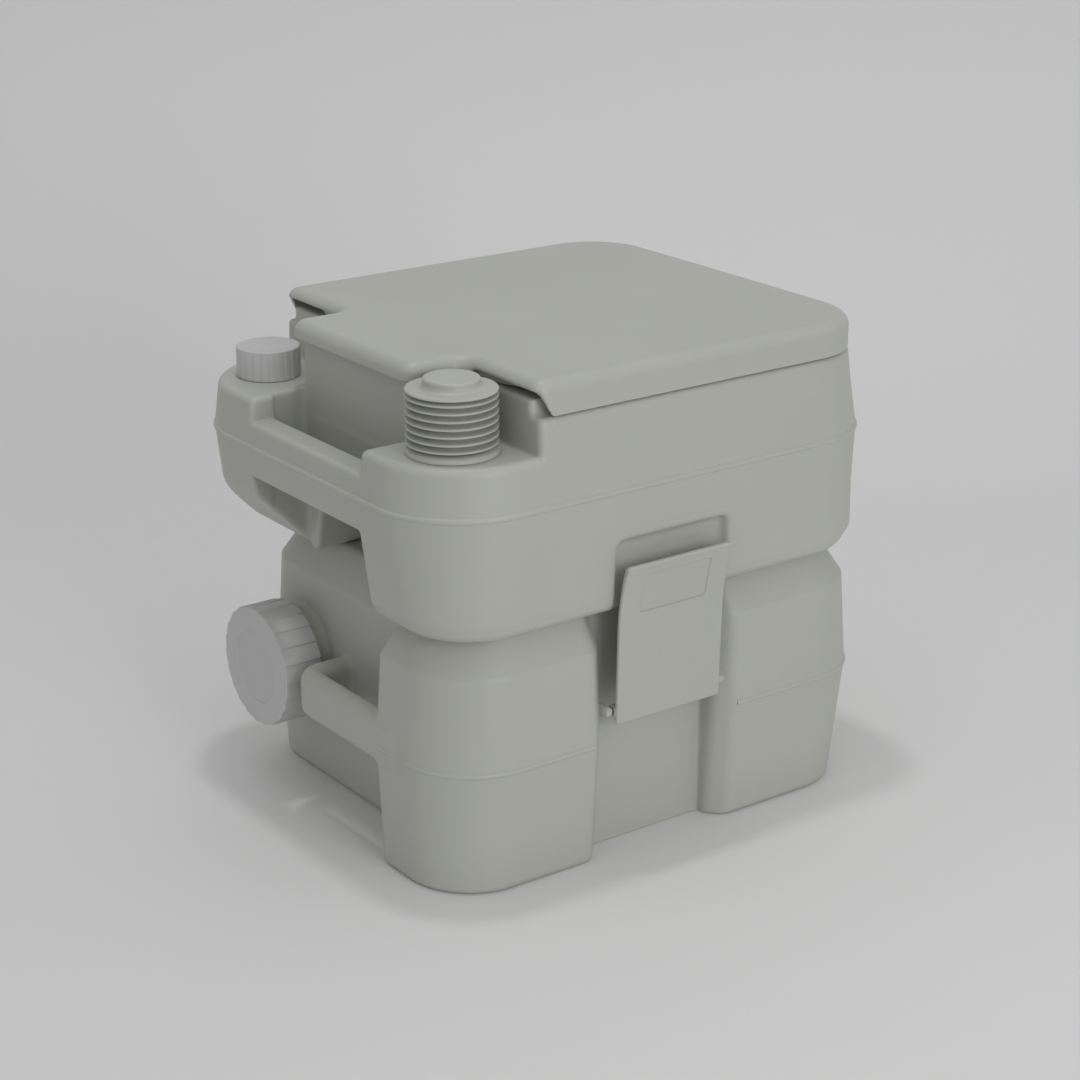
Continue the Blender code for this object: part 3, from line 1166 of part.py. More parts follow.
def main():
    for old in list(bpy.data.objects):
        bpy.data.objects.remove(old, do_unlink=True)
    body = finish_of("Warm grey plastic", (0.376, 0.388, 0.347), 0.42)
    pale = finish_of("Cool grey plastic", (0.305, 0.305, 0.309), 0.40)
    dark = finish_of("Dark grey plastic", (0.06, 0.06, 0.065), 0.45)
    clear = finish_of("Natural pipe plastic", (0.60, 0.60, 0.58), 0.35)
    rubber = finish_of("Black rubber", (0.02, 0.02, 0.022), 0.65)
    steel = finish_of("Stainless steel", (0.55, 0.55, 0.56), 0.28, 1.0)
    waste_tank(body)
    fresh_tank(body)
    drain_parts(pale, rubber)
    filler_parts(pale, rubber)
    pump_parts(body, clear)
    flush_parts(clear, body)
    bowl_part(body, rubber)
    valve_housing(dark, rubber)
    valve_screws(steel)
    carry("valve_axis", (0, VALVE_Y, BLADE_Z), valve_gate(dark, steel))
    carry("seat_axis", (0, HINGE_Y, HINGE_Z), seat_part(body, rubber))
    carry("lid_axis", (0, HINGE_Y, HINGE_Z), lid_part(body, rubber))
    hinge_pins(steel)
    for side, latch in zip((-1, 1), latch_pair(body, steel)):
        pivot = (side * LATCH_PIVOT_X, LATCH_Y, LATCH_PIVOT_Z)
        carry(f"latch_axis_{side}", pivot, [latch])


main()
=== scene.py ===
"""Looks of the portable camp toilet: tanks, seat, lid, latches, pump, caps, valve and studio."""

import math

import bmesh
import bpy
import numpy as np
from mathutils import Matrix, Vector


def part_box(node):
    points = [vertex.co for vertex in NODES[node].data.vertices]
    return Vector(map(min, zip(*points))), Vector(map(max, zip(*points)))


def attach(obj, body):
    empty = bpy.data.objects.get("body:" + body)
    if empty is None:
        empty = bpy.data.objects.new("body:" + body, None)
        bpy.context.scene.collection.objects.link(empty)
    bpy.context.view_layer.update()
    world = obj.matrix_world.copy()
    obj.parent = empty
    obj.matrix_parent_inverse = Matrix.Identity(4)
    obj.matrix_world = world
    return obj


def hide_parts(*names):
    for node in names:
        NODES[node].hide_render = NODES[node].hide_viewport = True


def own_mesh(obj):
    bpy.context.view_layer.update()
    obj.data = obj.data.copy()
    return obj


bl_info = {
    "name": "Portable Camp Toilet",
    "version": (1, 0, 0),
    "blender": (4, 5, 0),
    "location": "View3D > Sidebar > Camp Toilet",
    "description": "Builds a portable camp toilet round its CAD frame, with its finishes and a studio",
    "category": "Object",
}

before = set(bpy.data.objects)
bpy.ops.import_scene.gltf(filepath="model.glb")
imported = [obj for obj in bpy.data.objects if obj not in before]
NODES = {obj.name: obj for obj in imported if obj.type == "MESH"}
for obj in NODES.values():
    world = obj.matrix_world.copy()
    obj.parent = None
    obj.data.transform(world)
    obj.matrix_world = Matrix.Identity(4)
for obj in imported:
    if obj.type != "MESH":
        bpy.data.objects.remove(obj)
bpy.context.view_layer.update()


def span(node):
    """Lowest and highest corner of a CAD node, as two plain tuples."""
    low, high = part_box(node)
    return tuple(low), tuple(high)


FRESH, WASTE, LID, SEAT = span("fresh_tank"), span("waste_tank"), span("lid"), span("seat")
BOWL, BELLOWS, PUMP_TOP = span("bowl"), span("pump_bellows"), span("pump_top")
COLLAR, FILLER, DRAIN = span("pump_collar"), span("filler_cap"), span("drain_cap")
PULL, HINGE_PIN, LATCH = span("valve_pull"), span("hinge_pin_left"), span("latch_right")


def middle(box, axis):
    return (box[0][axis] + box[1][axis]) / 2


# ---- Main places, from the CAD boxes ----
BEAD = 0.0012
HALF_WIDTH = FRESH[1][0] - BEAD
HALF_LENGTH = FRESH[1][1] - BEAD
UPPER_LOW_Z = FRESH[0][2]
LOWER_TOP_Z = WASTE[1][2]
LOWER_HALF = WASTE[1][0] - BEAD
LOWER_FRONT = -WASTE[0][1] - BEAD
LOWER_BACK = LOWER_FRONT - 0.0076
PUMP_X, PUMP_Y = middle(PUMP_TOP, 0), middle(PUMP_TOP, 1)
PUMP_R = (BELLOWS[1][0] - BELLOWS[0][0]) / 2
FILLER_X, FILLER_Y = middle(FILLER, 0), middle(FILLER, 1)
FILLER_R = (FILLER[1][0] - FILLER[0][0]) / 2
DRAIN_X, DRAIN_Z = middle(DRAIN, 0), middle(DRAIN, 2)
DRAIN_R = (DRAIN[1][0] - DRAIN[0][0]) / 2
HINGE_Y, HINGE_Z = middle(HINGE_PIN, 1), middle(HINGE_PIN, 2)
LATCH_Y, LATCH_HALF_Y = middle(LATCH, 1), (LATCH[1][1] - LATCH[0][1]) / 2

# ---- Sizes of the moulded forms ----
SEAM_Z = 0.284
DECK_Z = 0.3192
LEDGE_Z = 0.3455
RIM_Z = 0.357
RIM_HALF = HALF_WIDTH - 0.0169
RIM_FRONT = HALF_LENGTH - 0.021
BAR_INNER_Y = HALF_LENGTH - 0.0243
BAR_TOP_Z = 0.302
BAR_LOW_Z = 0.2587
BLOCK_Y = BAR_INNER_Y - 0.0272
NOTCH_Y = BLOCK_Y - 0.0403
GRIP_HALF = 0.0735
BLOCK_HALF = 0.0765
POCKET_Y = BLOCK_Y - 0.046
POCKET_TOP_Z = 0.238
LOWER_SEAM_Z = 0.095
SHOULDER_Z = 0.165
BACK_WALL_Y = HALF_LENGTH - 0.0565
COLUMN_X = -0.0695
FAR_CORNER = 0.046
RECESS_HALF = LATCH_HALF_Y + 0.005
BOWL_Y, BOWL_X, BOWL_HALF_Y = middle(BOWL, 1), 0.118, (BOWL[1][1] - BOWL[0][1]) / 2 - 0.010
VALVE_Y = -0.030
OUTLET_R = 0.0425

# Wall levels as (height, side inset, front inset, back inset) from the widest outline
UPPER_LEVELS = np.array((
    (UPPER_LOW_Z - 0.02, 0.0250, 0.0390, 0.0425),
    (UPPER_LOW_Z, 0.0100, 0.0190, 0.0205),
    (UPPER_LOW_Z + 0.0050, 0.0062, 0.0140, 0.0155),
    (UPPER_LOW_Z + 0.0140, 0.0044, 0.0062, 0.0112),
    (SEAM_Z, 0.0, 0.0, 0.0),
    (DECK_Z, 0.0038, 0.0050, 0.0038),
    (LEDGE_Z, 0.0052, 0.0085, 0.0052),
    (0.40, 0.0070, 0.0120, 0.0070),
))
LOWER_LEVELS = np.array((
    (-0.02, 0.0075, 0.0105, 0.0055),
    (0.0, 0.0066, 0.0090, 0.0035),
    (LOWER_SEAM_Z, 0.0, 0.0, 0.0),
    (SHOULDER_Z, 0.0038, 0.0042, 0.0040),
    (LOWER_TOP_Z, 0.0200, 0.0205, 0.0215),
    (0.25, 0.0540, 0.0540, 0.0540),
))


# ---- Distance fields: negative inside, in metres ----
def union(a, b, fillet=0.0):
    """Both forms together, with a fillet of that radius where they meet."""
    if np.isscalar(fillet) and fillet <= 0:
        return np.minimum(a, b)
    u, v = np.maximum(fillet - a, 0), np.maximum(fillet - b, 0)
    return np.maximum(fillet, np.minimum(a, b)) - np.sqrt(u * u + v * v)


def common(a, b, edge=0.0):
    """What the forms share, with a rounded edge of that radius."""
    return -union(-a, -b, edge)


def without(a, b, edge=0.0):
    """The first form less the second, with a rounded edge of that radius."""
    return common(a, -b, edge)


def chamfered(a, b, wall, cut, blend):
    """The first form less the second, with a flat of that width where the wall meets the cut."""
    return common(common(a, -b), (wall - b + cut) * math.sqrt(0.5), blend)


def ease(value, low, high):
    """Smooth step from 0 to 1 between low and high."""
    share = np.clip((value - low) / (high - low), 0, 1)
    return share * share * (3 - 2 * share)


def slab(value, low, high):
    return np.maximum(low - value, value - high)


def rounded_box(x, y, z, low, high, radius):
    """Box between two corners, with all its edges rounded."""
    parts = []
    for value, a, b in zip((x, y, z), low, high):
        parts.append(np.abs(value - (a + b) / 2) - (b - a) / 2 + radius)
    outside = np.sqrt(sum(np.maximum(part, 0) ** 2 for part in parts))
    inside = np.minimum(np.maximum(np.maximum(parts[0], parts[1]), parts[2]), 0)
    return outside + inside - radius


def plan(x, y, x0, x1, y0, y1, radius):
    """Rounded rectangle seen from above. Its sides may be arrays that change with height."""
    u = np.abs(x - (x0 + x1) / 2) - (x1 - x0) / 2 + radius
    v = np.abs(y - (y0 + y1) / 2) - (y1 - y0) / 2 + radius
    outside = np.sqrt(np.maximum(u, 0) ** 2 + np.maximum(v, 0) ** 2)
    return outside + np.minimum(np.maximum(u, v), 0) - radius


def round_bar(u, v, low, high, w, radius):
    """Cylinder of that radius about u = v = 0, from w = low to high."""
    return np.maximum(np.sqrt(u * u + v * v) - radius, slab(w, low, high))


def drafted(x, y, z, levels, x0, x1, y0, y1, radius):
    """Tank wall whose insets change with height, corrected for its slope. The radius may be an array."""
    side, front, back = (np.interp(z, levels[:, 0], levels[:, k]) for k in (1, 2, 3))
    step = 1e-3
    slope = (np.interp(z + step, levels[:, 0], levels[:, 1]) - side) / step
    wall = plan(x, y, x0 + side, x1 - side, y0 + front, y1 - back, radius - side * 0.6)
    return wall / np.sqrt(1 + slope * slope)


# ---- Fresh-water tank ----
def bowl_way(x, y, z, grow):
    """Hollow that the bowl hangs in, from the rim down to the outlet."""
    heights = np.array((0.19, 0.206, 0.222, 0.262, 0.318, RIM_Z))
    share = np.interp(z, heights, np.array((0.0, 0.0, 0.22, 0.68, 0.95, 1.0)))
    half_x = OUTLET_R + share * (BOWL_X - OUTLET_R) + grow
    half_y = OUTLET_R + share * (BOWL_HALF_Y - OUTLET_R) + grow
    centre = VALVE_Y + share * (BOWL_Y - VALVE_Y)
    u, v = x / half_x, (y - centre) / half_y
    return (np.sqrt(u * u + v * v + 1e-12) - 1) * np.minimum(half_x, half_y) * 0.8


def fresh_form(x, y, z):
    corner = np.interp(z, (UPPER_LOW_Z, UPPER_LOW_Z + 0.05, SEAM_Z), (0.0540, 0.0655, 0.0700))
    wall = drafted(
        x, y, z, UPPER_LEVELS, -HALF_WIDTH, HALF_WIDTH, -HALF_LENGTH, HALF_LENGTH, corner
    )
    # Above the deck: everything in front of the notches, and the hinge block between them
    block = common(np.abs(x) - BLOCK_HALF, y - BLOCK_Y, 0.0060)
    high_plan = union(block, y - NOTCH_Y, 0.0050)
    rim = plan(x, y, -RIM_HALF, RIM_HALF, -RIM_FRONT, BLOCK_Y + 0.05, 0.048)
    rim = common(rim, z - RIM_Z, 0.002)
    ledge = union(z - LEDGE_Z, rim, 0.0045)
    high = common(high_plan, ledge, 0.0035)
    deck = np.maximum(z - DECK_Z, -high_slot(x, y, z))
    form = common(wall, union(deck, high, 0.0025), 0.0050)
    form = np.maximum(common(form, UPPER_LOW_Z - z, 0.0022), UPPER_LOW_Z - z)
    form = without(form, handle_hollow(x, y, z), 0.0032)
    form = without(form, under_pocket(x, y, z), 0.0045)
    form = without(form, lobe_slope(x, y, z), 0.0045)
    form = without(form, upper_recess(x, y, z), 0.0040)
    form = np.maximum(form, -bowl_way(x, y, z, 0.0015))
    rebate = np.maximum(flange_plan(x, y, 0.0115), RIM_Z - 0.0028 - z)
    form = np.maximum(form, -rebate)
    return small_upper_holes(form, x, y, z)


def high_slot(x, y, z):
    """Strip behind the hinge block where there is no deck, so that the block's back is one wall."""
    return np.maximum(np.maximum(np.abs(x) - BLOCK_HALF + 0.004, BLOCK_Y - 0.006 - y), y - BLOCK_Y - 0.006)


def flange_plan(x, y, grow):
    half_x, half_y = BOWL_X + grow, BOWL_HALF_Y + grow
    u, v = x / half_x, (y - BOWL_Y) / half_y
    return (np.sqrt(u * u + v * v + 1e-12) - 1) * half_x


def handle_hollow(x, y, z):
    """Everything that is cut away round the handle bar, behind the hinge block."""
    across = np.abs(x) - GRIP_HALF
    behind = common(across, BLOCK_Y - y, 0.0040)
    gap = np.maximum(behind, y - BAR_INNER_Y)
    high_across = slab(x, -GRIP_HALF - 0.0052, GRIP_HALF - 0.0050)
    above = np.maximum(common(high_across, BLOCK_Y - y, 0.0040), BAR_TOP_Z - z)
    below = np.maximum(behind, z - BAR_LOW_Z)
    return union(union(gap, above, 0.0050), below, 0.0045)


def under_pocket(x, y, z):
    """Pocket under the hinge block, whose far side slants outwards on its way down."""
    far_x = np.interp(z, (0.195, POCKET_TOP_Z), (0.0655, 0.0570))
    sides = common(slab(x, -GRIP_HALF - 0.002, far_x), POCKET_Y - y, 0.006)
    pocket = common(sides, z - POCKET_TOP_Z, 0.008)
    return np.maximum(pocket, y - BLOCK_Y - 0.02)


def lobe_slope(x, y, z):
    """Plane that slopes up under the back corner beyond the handle."""
    run, rise = 0.0590, 0.0570
    start_y = HALF_LENGTH - run
    length = math.hypot(run, rise)
    plane = ((z - UPPER_LOW_Z) * run - (y - start_y) * rise) / length
    return common(plane, GRIP_HALF - x, 0.004)


def upper_recess(x, y, z):
    """Recess in each side wall that the top of a latch lies in."""
    floor_x = HALF_WIDTH - 0.0105
    low = (floor_x, LATCH_Y - RECESS_HALF + 0.0005, 0.15)
    high = (floor_x + 0.05, LATCH_Y + RECESS_HALF - 0.0050, 0.2455)
    recess = rounded_box(np.abs(x), y, z, low, high, 0.006)
    slot_low = (floor_x - 0.007, LATCH_Y - 0.032, 0.2108)
    slot_high = (floor_x + 0.03, LATCH_Y + 0.032, 0.2184)
    return np.minimum(recess, rounded_box(np.abs(x), y, z, slot_low, slot_high, 0.001))


def small_upper_holes(form, x, y, z):
    neck = np.sqrt((x - FILLER_X) ** 2 + (y - FILLER_Y) ** 2)
    stem = np.maximum(neck - 0.019, slab(z, DECK_Z - 0.004, 0.3362))
    form = union(form, stem, 0.002)
    form = np.maximum(form, -np.maximum(neck - 0.016, DECK_Z - 0.05 - z))
    pump = np.sqrt((x - PUMP_X) ** 2 + (y - PUMP_Y) ** 2)
    form = np.maximum(form, -np.maximum(pump - 0.0155, DECK_Z - 0.03 - z))
    nozzle = round_bar(x + 0.055, z - 0.338, BOWL_Y, NOTCH_Y - 0.004, y, 0.0055)
    return np.maximum(form, -nozzle)


# ---- Waste tank ----
def waste_form(x, y, z):
    far = x > 0
    body_corner = np.where(far & (y > -0.05), FAR_CORNER, 0.057)
    body = drafted(
        x, y, z, LOWER_LEVELS, -LOWER_HALF, LOWER_HALF, -LOWER_FRONT, BACK_WALL_Y, body_corner
    )
    side = np.interp(z, LOWER_LEVELS[:, 0], LOWER_LEVELS[:, 1])
    column = drafted(x, y, z, LOWER_LEVELS, -LOWER_HALF, 0.5, -0.5, LOWER_BACK, 0.0574)
    column = common(column, x - COLUMN_X + side * 0.4, 0.0065)
    column = np.maximum(column, -0.02 - y)
    fillet = 0.0001 + 0.0119 * ease(x, COLUMN_X - 0.030, COLUMN_X - 0.012) * ease(y, 0.05, 0.09)
    form = union(body, column, fillet)
    form = common(form, z - LOWER_TOP_Z, 0.0025)
    form = common(form, -z, 0.0055)
    neck = round_bar(x - DRAIN_X, z - DRAIN_Z, BACK_WALL_Y - 0.02, DRAIN[0][1] + 0.028, y, 0.0395)
    form = union(form, neck, 0.003)
    form = union(form, hand_bar(x, y, z), 0.0035)
    side_wall = np.abs(x) - LOWER_HALF + side
    form = chamfered(form, lower_recess(x, y, z), side_wall, 0.0125, 0.0035)
    bore = round_bar(x - DRAIN_X, z - DRAIN_Z, BACK_WALL_Y - 0.02, 0.3, y, 0.0345)
    form = np.maximum(form, -bore)
    form = union(form, latch_ears(x, y, z), 0.0010)
    return valve_seat(form, x, y, z)


def hand_bar(x, y, z):
    """Bar that leaves the column, runs along the back and bends into the back wall."""
    mid, bend, end_x = 0.009, 0.022, DRAIN_X - DRAIN_R - 0.005
    line_y, down_x = LOWER_BACK + 0.0004 - mid, end_x - mid
    turn_x, turn_y = end_x - bend, LOWER_BACK + 0.0004 - bend
    past = np.maximum(np.maximum(COLUMN_X - 0.02 - x, x - turn_x), 0)
    along = np.sqrt(past * past + (y - line_y) ** 2)
    past = np.maximum(np.maximum(y - turn_y, 0.14 - y), 0)
    down = np.sqrt(past * past + (x - down_x) ** 2)
    reach = np.abs(np.sqrt((x - turn_x) ** 2 + (y - turn_y) ** 2) - (bend - mid))
    arc = np.where((x > turn_x) & (y > turn_y), reach, 1.0)
    path = np.minimum(np.minimum(along, down), arc) - mid
    return common(path, np.abs(z - 0.0975) - 0.0180, 0.0085)


def lower_recess(x, y, z):
    """Full-height recess in each side for a latch."""
    floor_x = LOWER_HALF - 0.0285
    return plan(np.abs(x), y, floor_x, floor_x + 0.2, LATCH_Y - RECESS_HALF, LATCH_Y + RECESS_HALF, 0.002)


def latch_ears(x, y, z):
    """Ears in the recess that carry the latch pins."""
    pivot_x, pivot_z = 0.1627, 0.1165
    ear = np.sqrt((np.abs(x) - pivot_x) ** 2 + (z - pivot_z) ** 2) - 0.0040
    web = np.maximum(np.abs(z - pivot_z) - 0.0040, slab(np.abs(x), LOWER_HALF - 0.032, pivot_x))
    away = np.abs(y - LATCH_Y)
    place = slab(away, LATCH_HALF_Y + 0.0012, LATCH_HALF_Y + 0.0075)
    return np.maximum(np.minimum(ear, web), place)


def valve_seat(form, x, y, z):
    """Pocket for the slide valve, the blade's channel and the finger recess in front."""
    pocket = np.maximum(np.abs(x) - 0.0605, np.abs(y - VALVE_Y) - 0.0605)
    pocket = np.maximum(pocket, 0.18 - z)
    channel = np.maximum(np.maximum(np.abs(x) - 0.048, y - VALVE_Y), 0.1835 - z)
    finger_back = PULL[1][1] + 0.003
    finger = rounded_box(x, y, z, (-0.056, -0.4, 0.1505), (0.056, finger_back, 0.3), 0.004)
    port = np.maximum(np.sqrt(x * x + (y - VALVE_Y) ** 2) - 0.039, 0.10 - z)
    form = without(form, np.minimum(pocket, channel), 0.0)
    form = without(form, finger, 0.003)
    return np.maximum(form, -port)


# ---- Lid, seat and latches ----
LID_HALF = LID[1][0]
LID_FRONT = -LID[0][1]
LID_BACK = LID[1][1]
LID_TOP = LID[1][2]
SKIRT_Z = LID[0][2]
TONGUE_HALF = 0.079
LID_SKIN = 0.0026


def lid_crown(x, y):
    """Height of the lid's top: nearly flat, falling a little towards the front."""
    fall = np.clip((0.10 - y) / 0.30, 0, 1.2)
    return LID_TOP - 0.0005 * fall**2 - 0.0006 * (x / LID_HALF) ** 2


def lid_plan(x, y, inset):
    main = plan(x, y, -LID_HALF + inset, LID_HALF - inset, -LID_FRONT + inset, 0.30, 0.053 - inset)
    main = common(main, y - (NOTCH_Y + 0.002 - inset), 0.0090)
    tongue = common(np.abs(x) - (TONGUE_HALF - inset), y - (LID_BACK - inset), 0.0110)
    tongue = np.maximum(tongue, -y)
    return union(main, tongue, 0.0110)


def lid_form(x, y, z):
    top = lid_crown(x, y)
    outer = common(lid_plan(x, y, 0.0), z - top, 0.0085)
    outer = np.maximum(outer, SKIRT_Z - z)
    inner = common(lid_plan(x, y, LID_SKIN), z - (top - LID_SKIN), 0.007)
    shell = common(outer, -inner, 0.0006)
    notch_edge = 0.3585 + 0.0055 * ease(np.abs(x), TONGUE_HALF + 0.002, TONGUE_HALF + 0.014)
    edge = SKIRT_Z + (notch_edge - SKIRT_Z) * ease(y, NOTCH_Y - 0.0125, NOTCH_Y + 0.0010)
    return common(shell, (edge - z) * 0.75, 0.0008)


def seat_form(x, y, z):
    half, front, back = SEAT[1][0], -SEAT[0][1], NOTCH_Y - 0.004
    edge = plan(x, y, -half, half, -front, back, 0.044)
    edge = union(edge, np.maximum(np.abs(x) - half * 0.5, slab(y, back - 0.03, back)), 0.0)
    tail = np.maximum(np.abs(x) - 0.0565, slab(y, back - 0.02, BLOCK_Y - 0.007))
    edge = union(edge, tail, 0.006)
    hole_x, hole_y = 0.098, (front + back) / 2 - 0.040
    u, v = x / hole_x, (y - (back - front) / 2) / hole_y
    hole = (np.sqrt(u * u + v * v + 1e-12) - 1) * hole_x
    low, high = SEAT[0][2], SEAT[1][2]
    form = common(edge, z - high, 0.0035)
    form = common(form, -hole, 0.0)
    form = common(form, hole_lip(hole, z, high), 0.0)
    form = common(form, low - z, 0.0008)
    for side in (-1, 1):
        for y_place in (-front + 0.055, back - 0.035):
            bump = np.sqrt((x - side * (RIM_HALF - 0.016)) ** 2 + (y - y_place) ** 2) - 0.0053
            form = np.maximum(form, -np.maximum(bump, z - low - 0.003))
    return form


def hole_lip(hole, z, high):
    """Rolled inner edge of the seat's opening."""
    radius = 0.004
    u, v = radius - hole, z - high + radius
    roll = np.sqrt(np.maximum(u, 0) ** 2 + np.maximum(v, 0) ** 2) - radius
    return np.where((u > 0) & (v > 0), roll, np.minimum(v - radius, -1e-4))


LATCH_LOW, LATCH_HIGH = LATCH[0][2], LATCH[1][2]
LATCH_FACE, LATCH_THICK = LOWER_HALF + 0.0004, 0.0032


def latch_face(z):
    """Outer face of the latch: straight below, flaring near its top."""
    lean = 0.0035 * (z - LATCH_LOW) / (LATCH_HIGH - LATCH_LOW)
    bend = np.clip((z - (LATCH_HIGH - 0.050)) / 0.050, 0, 1.2)
    return LATCH_FACE + lean + 0.0090 * bend**2


def latch_form(x, y, z):
    face = latch_face(z)
    slope = 0.0285 / 0.123 + 0.36 * np.clip((z - (LATCH_HIGH - 0.050)) / 0.050, 0, 1)
    steep = np.sqrt(1 + slope * slope)
    outer = (x - face) / steep
    thick = LATCH_THICK + 0.0012 * ease(z, LATCH_HIGH - 0.030, LATCH_HIGH)
    inner = (face - thick - x) / steep
    outline = plan(y, z, LATCH_Y - LATCH_HALF_Y, LATCH_Y + LATCH_HALF_Y, LATCH_LOW, LATCH_HIGH, 0.0025)
    plate = common(common(outline, outer, 0.0014), inner, 0.0007)
    label = plan(y, z, LATCH_Y - 0.030, LATCH_Y + 0.030, LATCH_HIGH - 0.0395, LATCH_HIGH - 0.0090, 0.0030)
    label = np.maximum(label, (face - 0.0013 - x) / steep)
    plate = without(plate, label, 0.0009)
    pivot_x, pivot_z = 0.1627, 0.1165
    barrel = np.sqrt((x - pivot_x) ** 2 + (z - pivot_z) ** 2)
    ends = np.abs(y - LATCH_Y) - LATCH_HALF_Y
    plate = union(plate, np.maximum(barrel - 0.0042, ends), 0.002)
    hook = rounded_box(
        x, y, z, (LATCH[0][0], LATCH_Y - 0.030, 0.2120), (0.1725, LATCH_Y + 0.030, 0.2160), 0.0008
    )
    plate = union(plate, hook, 0.0012)
    rib = np.maximum(slab(z, 0.125, 0.212), np.abs(np.abs(y - LATCH_Y) - 0.024) - 0.0010)
    rib = np.maximum(rib, slab(x, latch_face(z) - 0.0062, latch_face(z) - 0.002))
    plate = union(plate, rib, 0.0006)
    return np.maximum(plate, -(barrel - 0.0022))


# ---- Meshes from distance fields ----
CORNERS = np.array([(i, j, k) for i in (0, 1) for j in (0, 1) for k in (0, 1)])
EDGES = [(a, b) for a in range(8) for b in range(a + 1, 8) if np.abs(CORNERS[a] - CORNERS[b]).sum() == 1]


def skin_of(form, low, high, cell):
    """Points and quads on the surface where the form is zero, one point in each cell that it crosses."""
    low = np.array(low, np.float64) - 2.5 * cell
    counts = np.ceil((np.array(high) + 2.5 * cell - low) / cell).astype(int) + 1
    axes = [low[k] + cell * np.arange(counts[k]) for k in range(3)]
    x, y, z = axes[0][:, None, None], axes[1][None, :, None], axes[2][None, None, :]
    values = np.broadcast_to(form(x, y, z), counts).astype(np.float32)
    inside = values < 0
    total = sum(
        inside[i : i + counts[0] - 1, j : j + counts[1] - 1, k : k + counts[2] - 1].astype(np.int8)
        for i, j, k in CORNERS
    )
    cells = np.argwhere((total > 0) & (total < 8))
    index = np.full(counts - 1, -1, np.int32)
    index[tuple(cells.T)] = np.arange(len(cells))
    corner = np.stack([values[tuple((cells + offset).T)] for offset in CORNERS], axis=1)
    points = np.zeros((len(cells), 3))
    hits = np.zeros(len(cells))
    for a, b in EDGES:
        first, second = corner[:, a], corner[:, b]
        crosses = (first < 0) != (second < 0)
        share = np.where(crosses, first / np.where(crosses, first - second, 1), 0)[:, None]
        place = CORNERS[a] + share * (CORNERS[b] - CORNERS[a])
        points += np.where(crosses[:, None], place, 0)
        hits += crosses
    points = low + (cells + points / hits[:, None]) * cell
    quads = []
    for axis in range(3):
        ahead = np.roll(np.eye(3, dtype=int), 0, axis=0)[axis]
        here = inside[: counts[0] - ahead[0], : counts[1] - ahead[1], : counts[2] - ahead[2]]
        there = inside[ahead[0] :, ahead[1] :, ahead[2] :]
        u, v = np.eye(3, dtype=int)[(axis + 1) % 3], np.eye(3, dtype=int)[(axis + 2) % 3]
        for entering in (True, False):
            spots = np.argwhere((here != there) & (here == entering))
            ring = [spots, spots - u, spots - u - v, spots - v]
            loop = np.stack([index[tuple(r.T)] for r in ring], axis=1)
            quads.append(loop if entering else loop[:, ::-1])
    return points, np.concatenate(quads)


def settle(form, points, cell, rounds=3):
    """Moves points onto the surface along its gradient, and returns them with their normals."""
    step = 2e-5
    start = points.copy()
    for turn in range(rounds + 1):
        gradient = np.stack([
            (form(*(points + step * unit).T) - form(*(points - step * unit).T)) / (2 * step)
            for unit in np.eye(3)
        ], axis=1)
        size = np.maximum((gradient**2).sum(1), 0.05)
        if turn < rounds:
            move = -(form(*points.T) / size)[:, None] * gradient
            reach = np.linalg.norm(move, axis=1, keepdims=True)
            move *= np.minimum(1, 0.5 * cell / np.maximum(reach, 1e-9))
            points = points + move
            drift = points - start
            far = np.linalg.norm(drift, axis=1, keepdims=True)
            points = start + drift * np.minimum(1, 0.9 * cell / np.maximum(far, 1e-9))
    return points, gradient / np.linalg.norm(gradient, axis=1, keepdims=True).clip(1e-6)


def mesh_object(name, points, faces, smooth=True):
    mesh = bpy.data.meshes.new(name)
    mesh.from_pydata([tuple(p) for p in np.asarray(points)], [], [tuple(f) for f in faces])
    mesh.validate()
    if smooth:
        mesh.shade_smooth()
    obj = bpy.data.objects.new(name, mesh)
    bpy.context.scene.collection.objects.link(obj)
    return obj


def moulded(name, form, low, high, cell):
    """Object whose surface is the form's zero level."""
    points, quads = skin_of(form, low, high, cell)
    points, _ = settle(form, points, cell)
    obj = mesh_object(name, points, quads)
    obj.data.set_sharp_from_angle(angle=math.radians(50))
    return obj


# ---- Meshes turned, swept and filed ----
def turned(name, profile, count=96, closed=False):
    """Profile of (radius, height) turned about Z. A closed profile joins its last point to its first."""
    bm = bmesh.new()
    rings = []
    for radius, height in profile:
        if radius < 1e-6:
            rings.append([bm.verts.new((0, 0, height))])
            continue
        angles = [2 * math.pi * i / count for i in range(count)]
        rings.append([bm.verts.new((radius * math.cos(a), radius * math.sin(a), height)) for a in angles])
    pairs = list(zip(rings, rings[1:]))
    if closed:
        pairs.append((rings[-1], rings[0]))
    for low, high in pairs:
        for i in range(count):
            j = (i + 1) % count
            if len(low) == 1:
                bm.faces.new((low[0], high[j], high[i]))
            elif len(high) == 1:
                bm.faces.new((low[i], low[j], high[0]))
            else:
                bm.faces.new((low[i], low[j], high[j], high[i]))
    bmesh.ops.recalc_face_normals(bm, faces=bm.faces)
    return finished(name, bm)


def finished(name, bm, angle=38):
    mesh = bpy.data.meshes.new(name)
    bm.to_mesh(mesh)
    bm.free()
    mesh.shade_smooth()
    mesh.set_sharp_from_angle(angle=math.radians(angle))
    obj = bpy.data.objects.new(name, mesh)
    bpy.context.scene.collection.objects.link(obj)
    return obj


